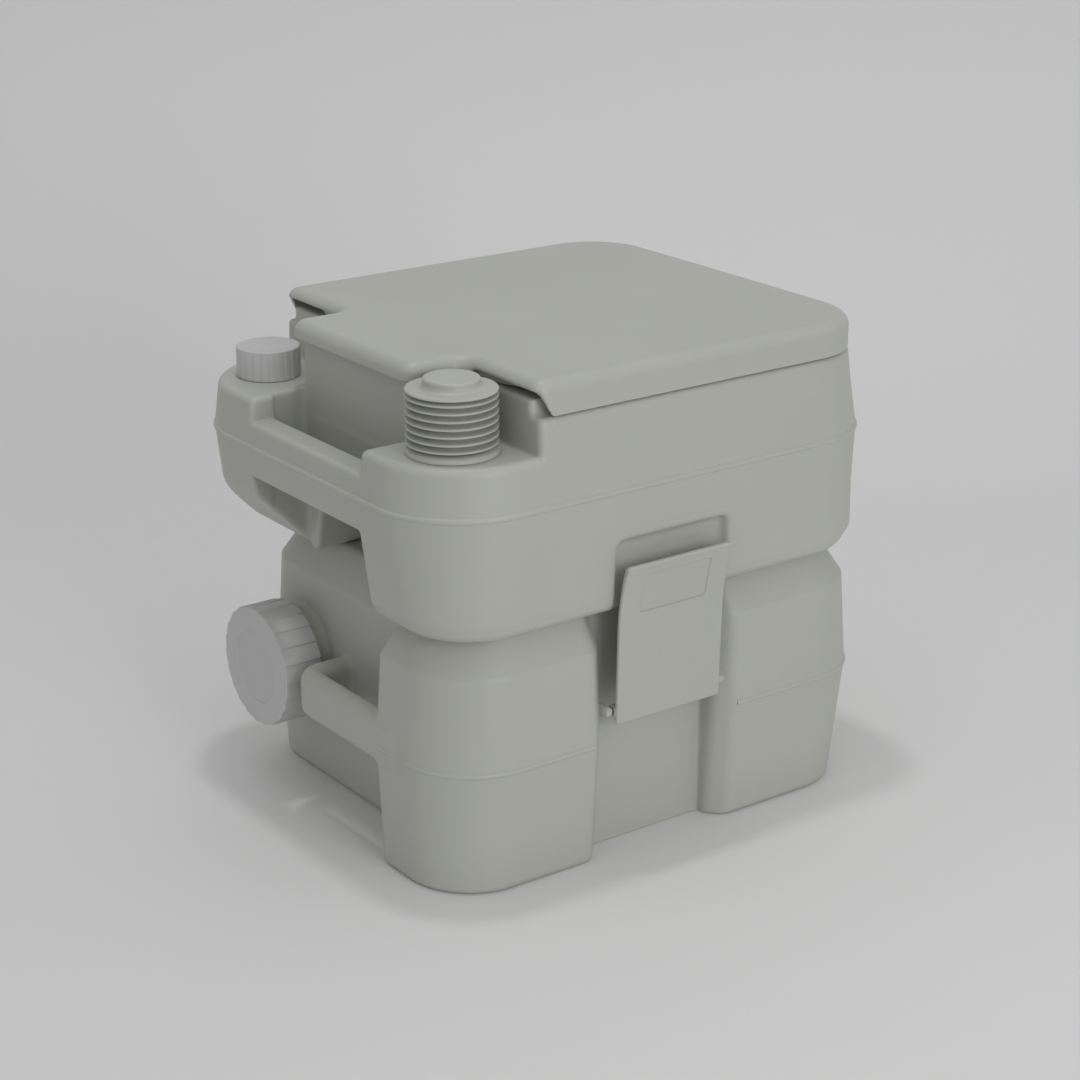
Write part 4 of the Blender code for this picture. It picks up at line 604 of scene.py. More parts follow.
def swept(name, path, section, closed=True):
    """Section of (outward, up) points carried along a level path of (x, y, normal x, normal y, z)."""
    bm = bmesh.new()
    rings = []
    for x, y, nx, ny, z in path:
        rings.append([bm.verts.new((x + nx * out, y + ny * out, z + up)) for out, up in section])
    last = len(rings) if closed else len(rings) - 1
    for i in range(last):
        here, there = rings[i], rings[(i + 1) % len(rings)]
        for j in range(len(section)):
            k = (j + 1) % len(section)
            bm.faces.new((here[j], there[j], there[k], here[k]))
    if not closed:
        bm.faces.new(rings[0])
        bm.faces.new(reversed(rings[-1]))
    bmesh.ops.recalc_face_normals(bm, faces=bm.faces)
    return finished(name, bm, 60)


BEAD_SECTION = [(-0.0012, -0.0026), (0.0, -0.0021), (0.00055, -0.0014), (0.0010, -0.0006),
                (0.0010, 0.0006), (0.00055, 0.0014), (0.0, 0.0021), (-0.0012, 0.0026)]


def outline_points(x0, x1, y0, y1, radius, z, step=0.003):
    """Points with outward normals round a rounded rectangle, at even steps."""
    path = []
    corners = ((x1, y1, 0), (x0, y1, 1), (x0, y0, 2), (x1, y0, 3))
    signs = ((-1, -1), (1, -1), (1, 1), (-1, 1))
    count = 28
    for (x, y, turn), (sx, sy) in zip(corners, signs):
        for i in range(count + 1):
            a = (turn + i / count) * math.pi / 2
            nx, ny = math.cos(a), math.sin(a)
            path.append((x + sx * radius + radius * nx, y + sy * radius + radius * ny, nx, ny, z))
    dense = []
    for a, b in zip(path, path[1:] + path[:1]):
        pieces = max(1, int(math.hypot(b[0] - a[0], b[1] - a[1]) / step))
        for i in range(pieces):
            dense.append(tuple(a[k] + (b[k] - a[k]) * i / pieces for k in range(5)))
    return dense


def seam(name, path, form, closed=True):
    """Seam bead whose path is drawn onto the form's surface."""
    points = np.array([(x, y, z) for x, y, _, _, z in path])
    drawn, normals = settle(form, points, 0.02, 6)
    level = normals[:, :2] / np.linalg.norm(normals[:, :2], axis=1, keepdims=True).clip(1e-6)
    path = [(p[0], p[1], n[0], n[1], points[0][2]) for p, n in zip(drawn, level)]
    return swept(name, path, BEAD_SECTION, closed)


def cap_shell(name, radius, height, bore, ribs, dish, rib_depth):
    """Screw cap standing on z = 0 with its mouth down: ratchet ribs, rolled top edge, ring on top."""
    steps = ((0.0, 1.0), (0.035, 0.93), (0.10, 0.12), (0.16, 0.0), (0.45, 0.30), (0.75, 0.66))
    angles, cuts = [], []
    for rib in range(ribs):
        for share, cut in steps:
            angles.append(2 * math.pi * (rib + share) / ribs)
            cuts.append(cut * rib_depth)
    roll = 0.0006
    side = [(0.0004, 0.0, 1.0), (0.0, 0.0005, 1.0), (0.0, height * 0.5, 1.0)]
    for i in range(5):
        a = i / 4 * math.pi / 2
        side.append((roll * (1 - math.cos(a)), height - roll + roll * math.sin(a), 1.0))
    bm = bmesh.new()
    rings = []
    for inset, z, share in side:
        row = []
        for a, cut in zip(angles, cuts):
            r = radius - inset - cut * share
            row.append(bm.verts.new((r * math.cos(a), r * math.sin(a), z)))
        rings.append(row)
    flat = [(radius - roll - 0.002, height)]
    flat += [(r, height - depth) for r, depth in dish]
    flat += [(0.012, height - dish[-1][1]), (0.004, height - dish[-1][1])]
    inside = [(radius - 0.0012, 0.0), (bore + 0.0006, 0.0), (bore, 0.0008)]
    pitch, turns = 0.005, int((height - 0.006) / 0.005)
    for i in range(turns):
        z = 0.002 + i * pitch
        inside += [(bore, z), (bore + 0.0009, z + 0.0012), (bore + 0.0009, z + 0.0022), (bore, z + 0.0034)]
    inside += [(bore, height - 0.0034), (bore - 0.001, height - 0.0030), (0.004, height - 0.0030)]
    for r, z in flat:
        rings.append([bm.verts.new((r * math.cos(a), r * math.sin(a), z)) for a in angles])
    lower = []
    for r, z in inside:
        lower.append([bm.verts.new((r * math.cos(a), r * math.sin(a), z)) for a in angles])
    count = len(angles)

    def bridge(low, high):
        for i in range(count):
            j = (i + 1) % count
            bm.faces.new((low[i], low[j], high[j], high[i]))

    for low, high in zip(rings, rings[1:]):
        bridge(low, high)
    for low, high in zip(lower, lower[1:]):
        bridge(low, high)
    bridge(rings[0], lower[0])
    bm.faces.new(rings[-1])
    bm.faces.new(lower[-1])
    bmesh.ops.recalc_face_normals(bm, faces=bm.faces)
    return finished(name, bm, 35)


# ---- Shader groups ----
def new_group(name, inputs, outputs):
    group = bpy.data.node_groups.new(name, "ShaderNodeTree")
    for label, kind, value in inputs:
        socket = group.interface.new_socket(label, in_out="INPUT", socket_type=kind)
        if value is not None:
            socket.default_value = value
    for label, kind in outputs:
        group.interface.new_socket(label, in_out="OUTPUT", socket_type=kind)
    return group, group.nodes.new("NodeGroupInput"), group.nodes.new("NodeGroupOutput")


def node(tree, kind, **settings):
    made = tree.nodes.new(kind)
    for key, value in settings.items():
        if key in made.inputs:
            made.inputs[key].default_value = value
        else:
            setattr(made, key, value)
    return made


def ramp(tree, source, low, high, to_low=0.0, to_high=1.0):
    """Source mapped from low..high to the given range."""
    made = tree.nodes.new("ShaderNodeMapRange")
    for label, value in (("From Min", low), ("From Max", high), ("To Min", to_low), ("To Max", to_high)):
        made.inputs[label].default_value = value
    tree.links.new(source, made.inputs["Value"])
    return made.outputs["Result"]


def mixed(tree, factor, first, second, kind="RGBA", blend="MIX"):
    made = tree.nodes.new("ShaderNodeMix")
    made.data_type = kind
    if kind == "RGBA":
        made.blend_type = blend
    picks = [s for s in made.inputs if s.enabled and s.name in ("Factor", "A", "B")]
    for socket, value in zip(picks, (factor, first, second)):
        if isinstance(value, (float, int, tuple)):
            socket.default_value = value
        else:
            tree.links.new(value, socket)
    return next(s for s in made.outputs if s.enabled)


def grain_group():
    """Fine spark-eroded grain with a slower mould ripple."""
    group, source, sink = new_group(
        "Mould grain",
        (("Grain Scale", "NodeSocketFloat", 900.0), ("Ripple Scale", "NodeSocketFloat", 14.0),
         ("Ripple Share", "NodeSocketFloat", 0.6)),
        (("Height", "NodeSocketFloat"), ("Fleck", "NodeSocketFloat")),
    )
    place = group.nodes.new("ShaderNodeTexCoord").outputs["Object"]
    fine = node(group, "ShaderNodeTexNoise", Detail=3.0, Roughness=0.55)
    slow = node(group, "ShaderNodeTexNoise", Detail=2.0, Roughness=0.45)
    for texture, label in ((fine, "Grain Scale"), (slow, "Ripple Scale")):
        group.links.new(place, texture.inputs["Vector"])
        group.links.new(source.outputs[label], texture.inputs["Scale"])
    ripple = node(group, "ShaderNodeMath", operation="MULTIPLY")
    group.links.new(slow.outputs["Fac"], ripple.inputs[0])
    group.links.new(source.outputs["Ripple Share"], ripple.inputs[1])
    total = node(group, "ShaderNodeMath", operation="ADD")
    group.links.new(fine.outputs["Fac"], total.inputs[0])
    group.links.new(ripple.outputs[0], total.inputs[1])
    group.links.new(total.outputs[0], sink.inputs["Height"])
    group.links.new(fine.outputs["Fac"], sink.inputs["Fleck"])
    return group


def tone_group():
    """Slow drift of tone and roughness over a moulding."""
    group, source, sink = new_group(
        "Tone drift",
        (("Base", "NodeSocketColor", (0.5, 0.5, 0.5, 1)), ("Drift", "NodeSocketColor", (0.5, 0.5, 0.5, 1)),
         ("Amount", "NodeSocketFloat", 0.5), ("Scale", "NodeSocketFloat", 7.0),
         ("Roughness", "NodeSocketFloat", 0.4), ("Roughness Spread", "NodeSocketFloat", 0.08)),
        (("Color", "NodeSocketColor"), ("Roughness", "NodeSocketFloat")),
    )
    place = group.nodes.new("ShaderNodeTexCoord").outputs["Object"]
    noise = node(group, "ShaderNodeTexNoise", Detail=4.0, Roughness=0.6)
    group.links.new(place, noise.inputs["Vector"])
    group.links.new(source.outputs["Scale"], noise.inputs["Scale"])
    mask = ramp(group, noise.outputs["Fac"], 0.35, 0.68)
    amount = node(group, "ShaderNodeMath", operation="MULTIPLY")
    group.links.new(mask, amount.inputs[0])
    group.links.new(source.outputs["Amount"], amount.inputs[1])
    colour = mixed(group, amount.outputs[0], source.outputs["Base"], source.outputs["Drift"])
    spread = node(group, "ShaderNodeMath", operation="MULTIPLY")
    group.links.new(mask, spread.inputs[0])
    group.links.new(source.outputs["Roughness Spread"], spread.inputs[1])
    rough = node(group, "ShaderNodeMath", operation="ADD")
    group.links.new(spread.outputs[0], rough.inputs[0])
    group.links.new(source.outputs["Roughness"], rough.inputs[1])
    group.links.new(colour, sink.inputs["Color"])
    group.links.new(rough.outputs[0], sink.inputs["Roughness"])
    return group


def edge_and_corner_shading_group():
    """Painted highlight on convex edges and painted shade in concave corners, from the mesh's pointiness; the
    corners also get rougher.
    """
    group, source, sink = new_group(
        "Painted edge highlight and corner shade",
        (("Color", "NodeSocketColor", (0.5, 0.5, 0.5, 1)), ("Edge Color", "NodeSocketColor", (0.6, 0.6, 0.6, 1)),
         ("Corner Color", "NodeSocketColor", (0.3, 0.3, 0.3, 1)), ("Edge Amount", "NodeSocketFloat", 0.4),
         ("Corner Amount", "NodeSocketFloat", 0.3), ("Roughness", "NodeSocketFloat", 0.4)),
        (("Color", "NodeSocketColor"), ("Roughness", "NodeSocketFloat"), ("Edge Highlight Mask", "NodeSocketFloat")),
    )
    pointed = group.nodes.new("ShaderNodeNewGeometry").outputs["Pointiness"]
    place = group.nodes.new("ShaderNodeTexCoord").outputs["Object"]
    breakup = node(group, "ShaderNodeTexNoise", Scale=38.0, Detail=5.0, Roughness=0.65)
    group.links.new(place, breakup.inputs["Vector"])
    patchy = ramp(group, breakup.outputs["Fac"], 0.34, 0.66)
    # Convex edges get a lighter colour: a painted highlight
    edge = ramp(group, pointed, 0.505, 0.56)
    # Concave corners get a darker colour: painted shade, along with more roughness
    corner = ramp(group, pointed, 0.495, 0.44)
    masks = []
    for mask, label in ((edge, "Edge Amount"), (corner, "Corner Amount")):
        first = node(group, "ShaderNodeMath", operation="MULTIPLY")
        group.links.new(mask, first.inputs[0])
        group.links.new(patchy, first.inputs[1])
        second = node(group, "ShaderNodeMath", operation="MULTIPLY")
        group.links.new(first.outputs[0], second.inputs[0])
        group.links.new(source.outputs[label], second.inputs[1])
        masks.append(second.outputs[0])
    # Lighter edges are a painted highlight; darker corners are painted shade
    painted_light = mixed(group, masks[0], source.outputs["Color"], source.outputs["Edge Color"])
    corner_shaded = mixed(group, masks[1], painted_light, source.outputs["Corner Color"])
    rough = node(group, "ShaderNodeMath", operation="MULTIPLY_ADD")
    group.links.new(masks[1], rough.inputs[0])
    rough.inputs[1].default_value = 0.25
    group.links.new(source.outputs["Roughness"], rough.inputs[2])
    group.links.new(corner_shaded, sink.inputs["Color"])
    group.links.new(rough.outputs[0], sink.inputs["Roughness"])
    group.links.new(masks[0], sink.inputs["Edge Highlight Mask"])
    return group


def brushed_group():
    """Fine drawn lines along one axis of a metal part."""
    group, source, sink = new_group(
        "Drawn lines",
        (("Scale", "NodeSocketFloat", 260.0), ("Stretch", "NodeSocketVector", (1.0, 0.04, 1.0)),
         ("Roughness", "NodeSocketFloat", 0.28)),
        (("Height", "NodeSocketFloat"), ("Roughness", "NodeSocketFloat")),
    )
    place = group.nodes.new("ShaderNodeTexCoord").outputs["Object"]
    stretch = node(group, "ShaderNodeVectorMath", operation="MULTIPLY")
    group.links.new(place, stretch.inputs[0])
    group.links.new(source.outputs["Stretch"], stretch.inputs[1])
    noise = node(group, "ShaderNodeTexNoise", Detail=4.0, Roughness=0.7)
    group.links.new(stretch.outputs[0], noise.inputs["Vector"])
    group.links.new(source.outputs["Scale"], noise.inputs["Scale"])
    rough = node(group, "ShaderNodeMath", operation="MULTIPLY_ADD")
    group.links.new(noise.outputs["Fac"], rough.inputs[0])
    rough.inputs[1].default_value = 0.22
    group.links.new(source.outputs["Roughness"], rough.inputs[2])
    group.links.new(noise.outputs["Fac"], sink.inputs["Height"])
    group.links.new(rough.outputs[0], sink.inputs["Roughness"])
    return group


GROUPS = {}


def group_of(name, maker):
    if name not in GROUPS:
        GROUPS[name] = maker()
    return GROUPS[name]


def place_group(tree, name, maker, **values):
    made = tree.nodes.new("ShaderNodeGroup")
    made.node_tree = group_of(name, maker)
    for key, value in values.items():
        made.inputs[key.replace("_", " ")].default_value = value
    return made


def tinted(colour, factor):
    return tuple(min(1.0, c * factor) for c in colour[:3]) + (1.0,)


def plastic(name, colour, roughness, grain=0.00002, painted_shading=0.35, scale=900.0, coat=0.0):
    """Moulded plastic: drifting tone, painted highlight on edges, painted shade and more roughness in corners,
    and a fine grain.
    """
    if name in bpy.data.materials:
        return bpy.data.materials[name]
    material = bpy.data.materials.new(name)
    material.use_nodes = True
    tree = material.node_tree
    shader = tree.nodes["Principled BSDF"]
    base = tuple(colour[:3]) + (1.0,)
    tone = place_group(tree, "Tone drift", tone_group, Base=base, Drift=tinted(base, 0.955),
                       Amount=0.8, Roughness=roughness, Roughness_Spread=0.07)
    # Painted highlight on edges and painted shade in corners, as lighter and darker copies of the base colour
    painted_light = place_group(tree, "Painted edge highlight and corner shade", edge_and_corner_shading_group, Edge_Color=tinted(base, 1.14),
                       Corner_Color=tinted(base, 0.80), Edge_Amount=painted_shading, Corner_Amount=painted_shading * 0.7)
    grained = place_group(tree, "Mould grain", grain_group, Grain_Scale=scale)
    tree.links.new(tone.outputs["Color"], painted_light.inputs["Color"])
    tree.links.new(tone.outputs["Roughness"], painted_light.inputs["Roughness"])
    tree.links.new(painted_light.outputs["Color"], shader.inputs["Base Color"])
    tree.links.new(painted_light.outputs["Roughness"], shader.inputs["Roughness"])
    bump = node(tree, "ShaderNodeBump", Strength=0.35, Distance=grain)
    tree.links.new(grained.outputs["Height"], bump.inputs["Height"])
    tree.links.new(bump.outputs["Normal"], shader.inputs["Normal"])
    shader.inputs["IOR"].default_value = 1.49
    shader.inputs["Coat Weight"].default_value = coat
    return material


def metal(name, colour, roughness):
    if name in bpy.data.materials:
        return bpy.data.materials[name]
    material = bpy.data.materials.new(name)
    material.use_nodes = True
    tree = material.node_tree
    shader = tree.nodes["Principled BSDF"]
    base = tuple(colour[:3]) + (1.0,)
    drawn = place_group(tree, "Drawn lines", brushed_group, Roughness=roughness)
    tone = place_group(tree, "Tone drift", tone_group, Base=base, Drift=tinted(base, 0.85), Amount=0.7,
                       Scale=24.0)
    tree.links.new(tone.outputs["Color"], shader.inputs["Base Color"])
    tree.links.new(drawn.outputs["Roughness"], shader.inputs["Roughness"])
    bump = node(tree, "ShaderNodeBump", Strength=0.3, Distance=0.00002)
    tree.links.new(drawn.outputs["Height"], bump.inputs["Height"])
    tree.links.new(bump.outputs["Normal"], shader.inputs["Normal"])
    shader.inputs["Metallic"].default_value = 1.0
    return material


def finish_for(slot):
    """Material for one of the record's material slots, with the panel's colours."""
    look = bpy.context.scene.camp_toilet_finish
    makers = {
        "body_plastic": lambda: plastic("Body plastic", look.body, look.body_roughness),
        "bellows_plastic": lambda: plastic("Bellows plastic", look.body, look.body_roughness + 0.04, scale=600),
        "cap_plastic": lambda: plastic("Cap plastic", look.cap, 0.42, painted_shading=0.45),
        "dark_plastic": lambda: plastic("Dark valve plastic", look.dark, 0.45, painted_shading=0.5),
        "pipe_plastic": lambda: plastic("Pipe plastic", look.pipe, 0.3, grain=0.00001, painted_shading=0.1, coat=0.2),
        "black_rubber": lambda: plastic("Black rubber", look.rubber, 0.62, grain=0.00004, painted_shading=0.6, scale=500),
        "steel": lambda: metal("Stainless steel", look.steel, 0.22),
    }
    return makers[slot]()


def dress(obj, slot):
    obj.data.materials.clear()
    obj.data.materials.append(finish_for(slot))
    return obj


def repaint(node_name, slot):
    """CAD node that keeps its shape and gets a finished material."""
    obj = NODES[node_name]
    for material_slot in obj.material_slots:
        material_slot.material = finish_for(slot)
    if not obj.material_slots:
        obj.data.materials.append(finish_for(slot))


def settle_on(obj, body, slot, *replaced):
    dress(obj, slot)
    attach(obj, body)
    if replaced:
        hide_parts(*replaced)
    return obj


# ---- Settings that a user would change ----
class CampToiletFinish(bpy.types.PropertyGroup):
    """Colours and gloss of the pieces."""

    body: bpy.props.FloatVectorProperty(
        name="Body", description="Colour of the tanks, seat and lid", subtype="COLOR", size=3,
        default=(0.488, 0.498, 0.456), min=0, max=1)
    body_roughness: bpy.props.FloatProperty(
        name="Body roughness", description="How matt the tanks are", default=0.42, min=0, max=1,
        subtype="FACTOR")
    cap: bpy.props.FloatVectorProperty(
        name="Caps", description="Colour of the screw caps", subtype="COLOR", size=3,
        default=(0.560, 0.560, 0.562), min=0, max=1)
    dark: bpy.props.FloatVectorProperty(
        name="Valve", description="Colour of the slide valve", subtype="COLOR", size=3,
        default=(0.055, 0.055, 0.060), min=0, max=1)
    pipe: bpy.props.FloatVectorProperty(
        name="Pipes", description="Colour of the flush and intake pipes", subtype="COLOR", size=3,
        default=(0.60, 0.60, 0.57), min=0, max=1)
    rubber: bpy.props.FloatVectorProperty(
        name="Rubber", description="Colour of the seals and bumpers", subtype="COLOR", size=3,
        default=(0.022, 0.022, 0.024), min=0, max=1)
    steel: bpy.props.FloatVectorProperty(
        name="Steel", description="Colour of pins, screws and blade", subtype="COLOR", size=3,
        default=(0.56, 0.56, 0.57), min=0, max=1)


class CampToiletDetail(bpy.types.PropertyGroup):
    """Mesh detail of the moulded pieces."""

    tank_cell: bpy.props.FloatProperty(
        name="Tank detail", description="Spacing of points on the tanks", default=0.0021, min=0.0008,
        max=0.01, precision=4, unit="LENGTH")
    lid_cell: bpy.props.FloatProperty(
        name="Lid detail", description="Spacing of points on the lid and seat", default=0.0015,
        min=0.0008, max=0.01, precision=4, unit="LENGTH")
    latch_cell: bpy.props.FloatProperty(
        name="Latch detail", description="Spacing of points on the latches", default=0.0008, min=0.0004,
        max=0.005, precision=4, unit="LENGTH")
    pleats: bpy.props.IntProperty(
        name="Pleats", description="Number of folds in the pump's bellows", default=7, min=3, max=12)
    drain_ribs: bpy.props.IntProperty(
        name="Drain cap ribs", description="Number of grip ribs on the drain cap", default=22, min=8, max=60)
    filler_ribs: bpy.props.IntProperty(
        name="Filler cap ribs", description="Number of grip ribs on the filler cap", default=24, min=8,
        max=80)


class CampToiletStudio(bpy.types.PropertyGroup):
    """Camera, light and floor."""

    lens: bpy.props.FloatProperty(
        name="Lens", description="Camera's focal length", default=81.43, min=10, max=300, unit="CAMERA")
    floor: bpy.props.FloatVectorProperty(
        name="Floor", description="Colour of the studio floor", subtype="COLOR", size=3,
        default=(0.80, 0.80, 0.80), min=0, max=1)
    side_power: bpy.props.FloatProperty(
        name="Side light", description="Power of the soft light beside the latch", default=11.5, min=0,
        max=500, unit="POWER")
    top_power: bpy.props.FloatProperty(
        name="Top light", description="Power of the small light overhead", default=4.59, min=0, max=500,
        unit="POWER")
    panel_power: bpy.props.FloatProperty(
        name="Overhead panel", description="Power of the wide panel overhead", default=5.97, min=0,
        max=500, unit="POWER")
    sky: bpy.props.FloatProperty(
        name="Room light", description="Strength of the even light all round", default=0.447, min=0, max=5)


# ---- Operators ----
class WasteTankBuild(bpy.types.Operator):
    """Build the waste tank with its column, hand bar, spout and latch recesses"""

    bl_idname = "camp_toilet.waste_tank"
    bl_label = "Waste tank"

    def execute(self, context):
        cell = context.scene.camp_toilet_detail.tank_cell
        obj = moulded("waste_tank_body", waste_form, WASTE[0], WASTE[1], cell)
        settle_on(obj, "tanks", "body_plastic", "waste_tank")
        for index, path in enumerate(lower_seam_paths()):
            bead = seam(f"waste_tank_seam_{index + 1}", path, waste_form, closed=False)
            settle_on(bead, "tanks", "body_plastic")
        return {"FINISHED"}


def straight_run(start, end, normal, z, count=24):
    """Level path along a straight wall."""
    run = []
    for i in range(count):
        share = i / count
        x, y = (start[k] + (end[k] - start[k]) * share for k in (0, 1))
        run.append((x, y, normal[0], normal[1], z))
    return run


def corner_run(x, y, radius, start, end, z, count=32):
    """Level path round a corner, between two angles in degrees."""
    run = []
    for i in range(count + 1):
        a = math.radians(start + (end - start) * i / count)
        run.append((x + radius * math.cos(a), y + radius * math.sin(a), math.cos(a), math.sin(a), z))
    return run


def lower_seam_paths():
    """Paths of the lower seam: the near column, the front with its corners, and the far column."""
    half, back, front, z, r = LOWER_HALF, LOWER_BACK, -LOWER_FRONT, LOWER_SEAM_Z, 0.0572
    gap = RECESS_HALF + 0.0140
    near = straight_run((-half, LATCH_Y + gap), (-half, back - r), (-1, 0), z)
    near += corner_run(-half + r, back - r, r, 180, 90, z)
    near += straight_run((-half + r + 0.001, back), (COLUMN_X - 0.0070, back), (0, 1), z)
    ahead = straight_run((-half, LATCH_Y - gap), (-half, front + r), (-1, 0), z)
    ahead += corner_run(-half + r, front + r, r, 180, 270, z)
    ahead += straight_run((-half + r + 0.001, front), (half - r - 0.001, front), (0, -1), z)
    ahead += corner_run(half - r, front + r, r, 270, 360, z)
    ahead += straight_run((half, front + r + 0.001), (half, LATCH_Y - gap), (1, 0), z)
    far = straight_run((half, LATCH_Y + gap), (half, BACK_WALL_Y - FAR_CORNER), (1, 0), z)
    far += corner_run(half - FAR_CORNER, BACK_WALL_Y - FAR_CORNER, FAR_CORNER, 0, 50, z)
    return near, ahead, far


class FreshTankBuild(bpy.types.Operator):
    """Build the fresh-water tank with its handle, deck, rim and filler neck"""

    bl_idname = "camp_toilet.fresh_tank"
    bl_label = "Fresh-water tank"

    def execute(self, context):
        cell = context.scene.camp_toilet_detail.tank_cell
        obj = moulded("fresh_tank_body", fresh_form, FRESH[0], FRESH[1], cell)
        settle_on(obj, "tanks", "body_plastic", "fresh_tank")
        path = outline_points(
            -HALF_WIDTH, HALF_WIDTH, -HALF_LENGTH, HALF_LENGTH, 0.0668, SEAM_Z)
        bead = seam("fresh_tank_seam", path, fresh_form)
        settle_on(bead, "tanks", "body_plastic")
        return {"FINISHED"}


class LidBuild(bpy.types.Operator):
    """Build the lid as a thin crowned shell with a tongue between its notches"""

    bl_idname = "camp_toilet.lid"
    bl_label = "Lid"

    def execute(self, context):
        cell = context.scene.camp_toilet_detail.lid_cell
        obj = moulded("lid_shell", lid_form, LID[0], LID[1], cell)
        settle_on(obj, "cover", "body_plastic", "lid")
        return {"FINISHED"}


class SeatBuild(bpy.types.Operator):
    """Build the seat ring with its rolled edges"""

    bl_idname = "camp_toilet.seat"
    bl_label = "Seat"

    def execute(self, context):
        cell = context.scene.camp_toilet_detail.lid_cell
        obj = moulded("seat_ring_body", seat_form, SEAT[0], SEAT[1], cell)
        settle_on(obj, "seat_ring", "body_plastic", "seat")
        return {"FINISHED"}


class LatchesBuild(bpy.types.Operator):
    """Build both side latches with their flared tops and blank sunk panels"""

    bl_idname = "camp_toilet.latches"
    bl_label = "Latches"

    def execute(self, context):
        cell = context.scene.camp_toilet_detail.latch_cell
        points, quads = skin_of(latch_form, LATCH[0], LATCH[1], cell)
        points, _ = settle(latch_form, points, cell)
        for name, side in (("right", 1), ("left", -1)):
            shown = points * np.array((side, 1, 1))
            obj = mesh_object(f"latch_plate_{name}", shown, quads[:, ::side])
            obj.data.set_sharp_from_angle(angle=math.radians(50))
            settle_on(obj, f"{name}_latch", "body_plastic", f"latch_{name}")
            repaint(f"latch_pin_{name}", "steel")
        return {"FINISHED"}


class PumpBuild(bpy.types.Operator):
    """Build the bellows pump with its collar, folds and button"""

    bl_idname = "camp_toilet.pump"
    bl_label = "Pump"

    def execute(self, context):
        pleats = context.scene.camp_toilet_detail.pleats
        low, high = BELLOWS[0][2], BELLOWS[1][2]
        pitch = (high - low) / pleats
        fold = 0.0078
        profile = [(PUMP_R - fold - 0.0012, low)]
        for pleat in range(pleats):
            z = low + pleat * pitch
            for share, out in ((0.05, 0.0), (0.12, 0.03), (0.22, 0.22), (0.30, 0.62), (0.35, 0.90),
                               (0.40, 0.975), (0.46, 1.0), (0.54, 1.0), (0.60, 0.975), (0.65, 0.90),
                               (0.70, 0.62), (0.78, 0.22), (0.88, 0.03), (0.95, 0.0)):
                profile.append((PUMP_R - fold * (1 - out), z + pitch * share))
        profile.append((PUMP_R - fold - 0.0012, high))
        inner = [(min(radius, PUMP_R - 0.0035) - 0.0012, z) for radius, z in reversed(profile)]
        bellows = turned("bellows_folds", profile + inner, 112, closed=True)
        bellows.location = (PUMP_X, PUMP_Y, 0)
        settle_on(bellows, "tanks", "bellows_plastic", "pump_bellows")
        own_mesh(bellows)
        self.button()
        self.collar()
        for name in ("pump_intake_tube", "pump_foot_valve", "flush_pipe"):
            repaint(name, "pipe_plastic")
        repaint("flush_nozzle", "body_plastic")
        return {"FINISHED"}

    def button(self):
        low, top = PUMP_TOP[0][2], PUMP_TOP[1][2]
        plate = low + 0.0022
        inner = 0.0198
        profile = [(0.0, low), (PUMP_R - 0.0012, low), (PUMP_R - 0.0002, low + 0.0006),
                   (PUMP_R, low + 0.0012), (PUMP_R - 0.0004, plate - 0.0003), (PUMP_R - 0.0014, plate)]
        for i in range(9):
            a = i / 8 * math.pi / 2
            profile.append((inner + 0.0042 - 0.0042 * math.sin(a), plate + 0.0042 * (1 - math.cos(a))))
        roll = 0.0018
        for i in range(7):
            a = i / 6 * math.pi / 2
            profile.append((inner - roll * (1 - math.cos(a)), top - roll + roll * math.sin(a)))
        profile += [(inner - 0.006, top), (0.0, top)]
        button = turned("pump_button_cap", profile, 112)
        button.location = (PUMP_X, PUMP_Y, 0)
        settle_on(button, "pump_button", "body_plastic", "pump_top")

    def collar(self):
        low, high = DECK_Z + 0.0003, COLLAR[1][2]
        reach = PUMP_R + 0.0005
        profile = [(0.0052, high), (reach - 0.006, high), (reach - 0.0040, high - 0.0002),
                   (reach - 0.0012, high - 0.0014), (reach - 0.0002, high - 0.0026),
                   (reach, low + 0.0008), (reach, low), (0.0150, low), (0.0150, COLLAR[0][2]),
                   (0.0048, COLLAR[0][2]), (0.0048, COLLAR[0][2] + 0.01), (0.0052, COLLAR[0][2] + 0.01)]
        collar = turned("pump_base_ring", profile, 112, closed=True)
        collar.location = (PUMP_X, PUMP_Y, 0)
        settle_on(collar, "tanks", "body_plastic", "pump_collar")


class CapsBuild(bpy.types.Operator):
    """Build the filler cap and the drain cap with their grip ribs"""

    bl_idname = "camp_toilet.caps"
    bl_label = "Screw caps"

    def execute(self, context):
        detail = context.scene.camp_toilet_detail
        height = FILLER[1][2] - FILLER[0][2]
        dish = ((FILLER_R - 0.0030, 0.0), (FILLER_R - 0.0034, 0.0002))
        cap = cap_shell("filler_cap_shell", FILLER_R, height, 0.0195, detail.filler_ribs, dish, 0.0005)
        cap.location = (FILLER_X, FILLER_Y, FILLER[0][2])
        settle_on(cap, "filler_cover", "cap_plastic", "filler_cap")
        depth = DRAIN[1][1] - DRAIN[0][1]
        dish = ((0.620 * DRAIN_R, 0.0), (0.612 * DRAIN_R, 0.0003), (0.606 * DRAIN_R, 0.0007),
                (0.590 * DRAIN_R, 0.0008))
        cap = cap_shell("drain_cap_shell", DRAIN_R, depth, 0.0400, detail.drain_ribs, dish, 0.0011)
        cap.rotation_euler = (-math.pi / 2, 0, 0)
        cap.location = (DRAIN_X, DRAIN[0][1], DRAIN_Z)
        settle_on(cap, "drain_cover", "cap_plastic", "drain_cap")
        repaint("filler_gasket", "black_rubber")
        repaint("drain_gasket", "black_rubber")
        return {"FINISHED"}


class BowlBuild(bpy.types.Operator):
    """Build the smooth bowl with its flange and outlet"""

    bl_idname = "camp_toilet.bowl"
    bl_label = "Bowl"

    def execute(self, context):
        obj = moulded("bowl_basin", bowl_form, BOWL[0], BOWL[1], 0.0015)
        settle_on(obj, "tanks", "body_plastic", "bowl")
        repaint("bowl_outlet_ring", "black_rubber")
        return {"FINISHED"}


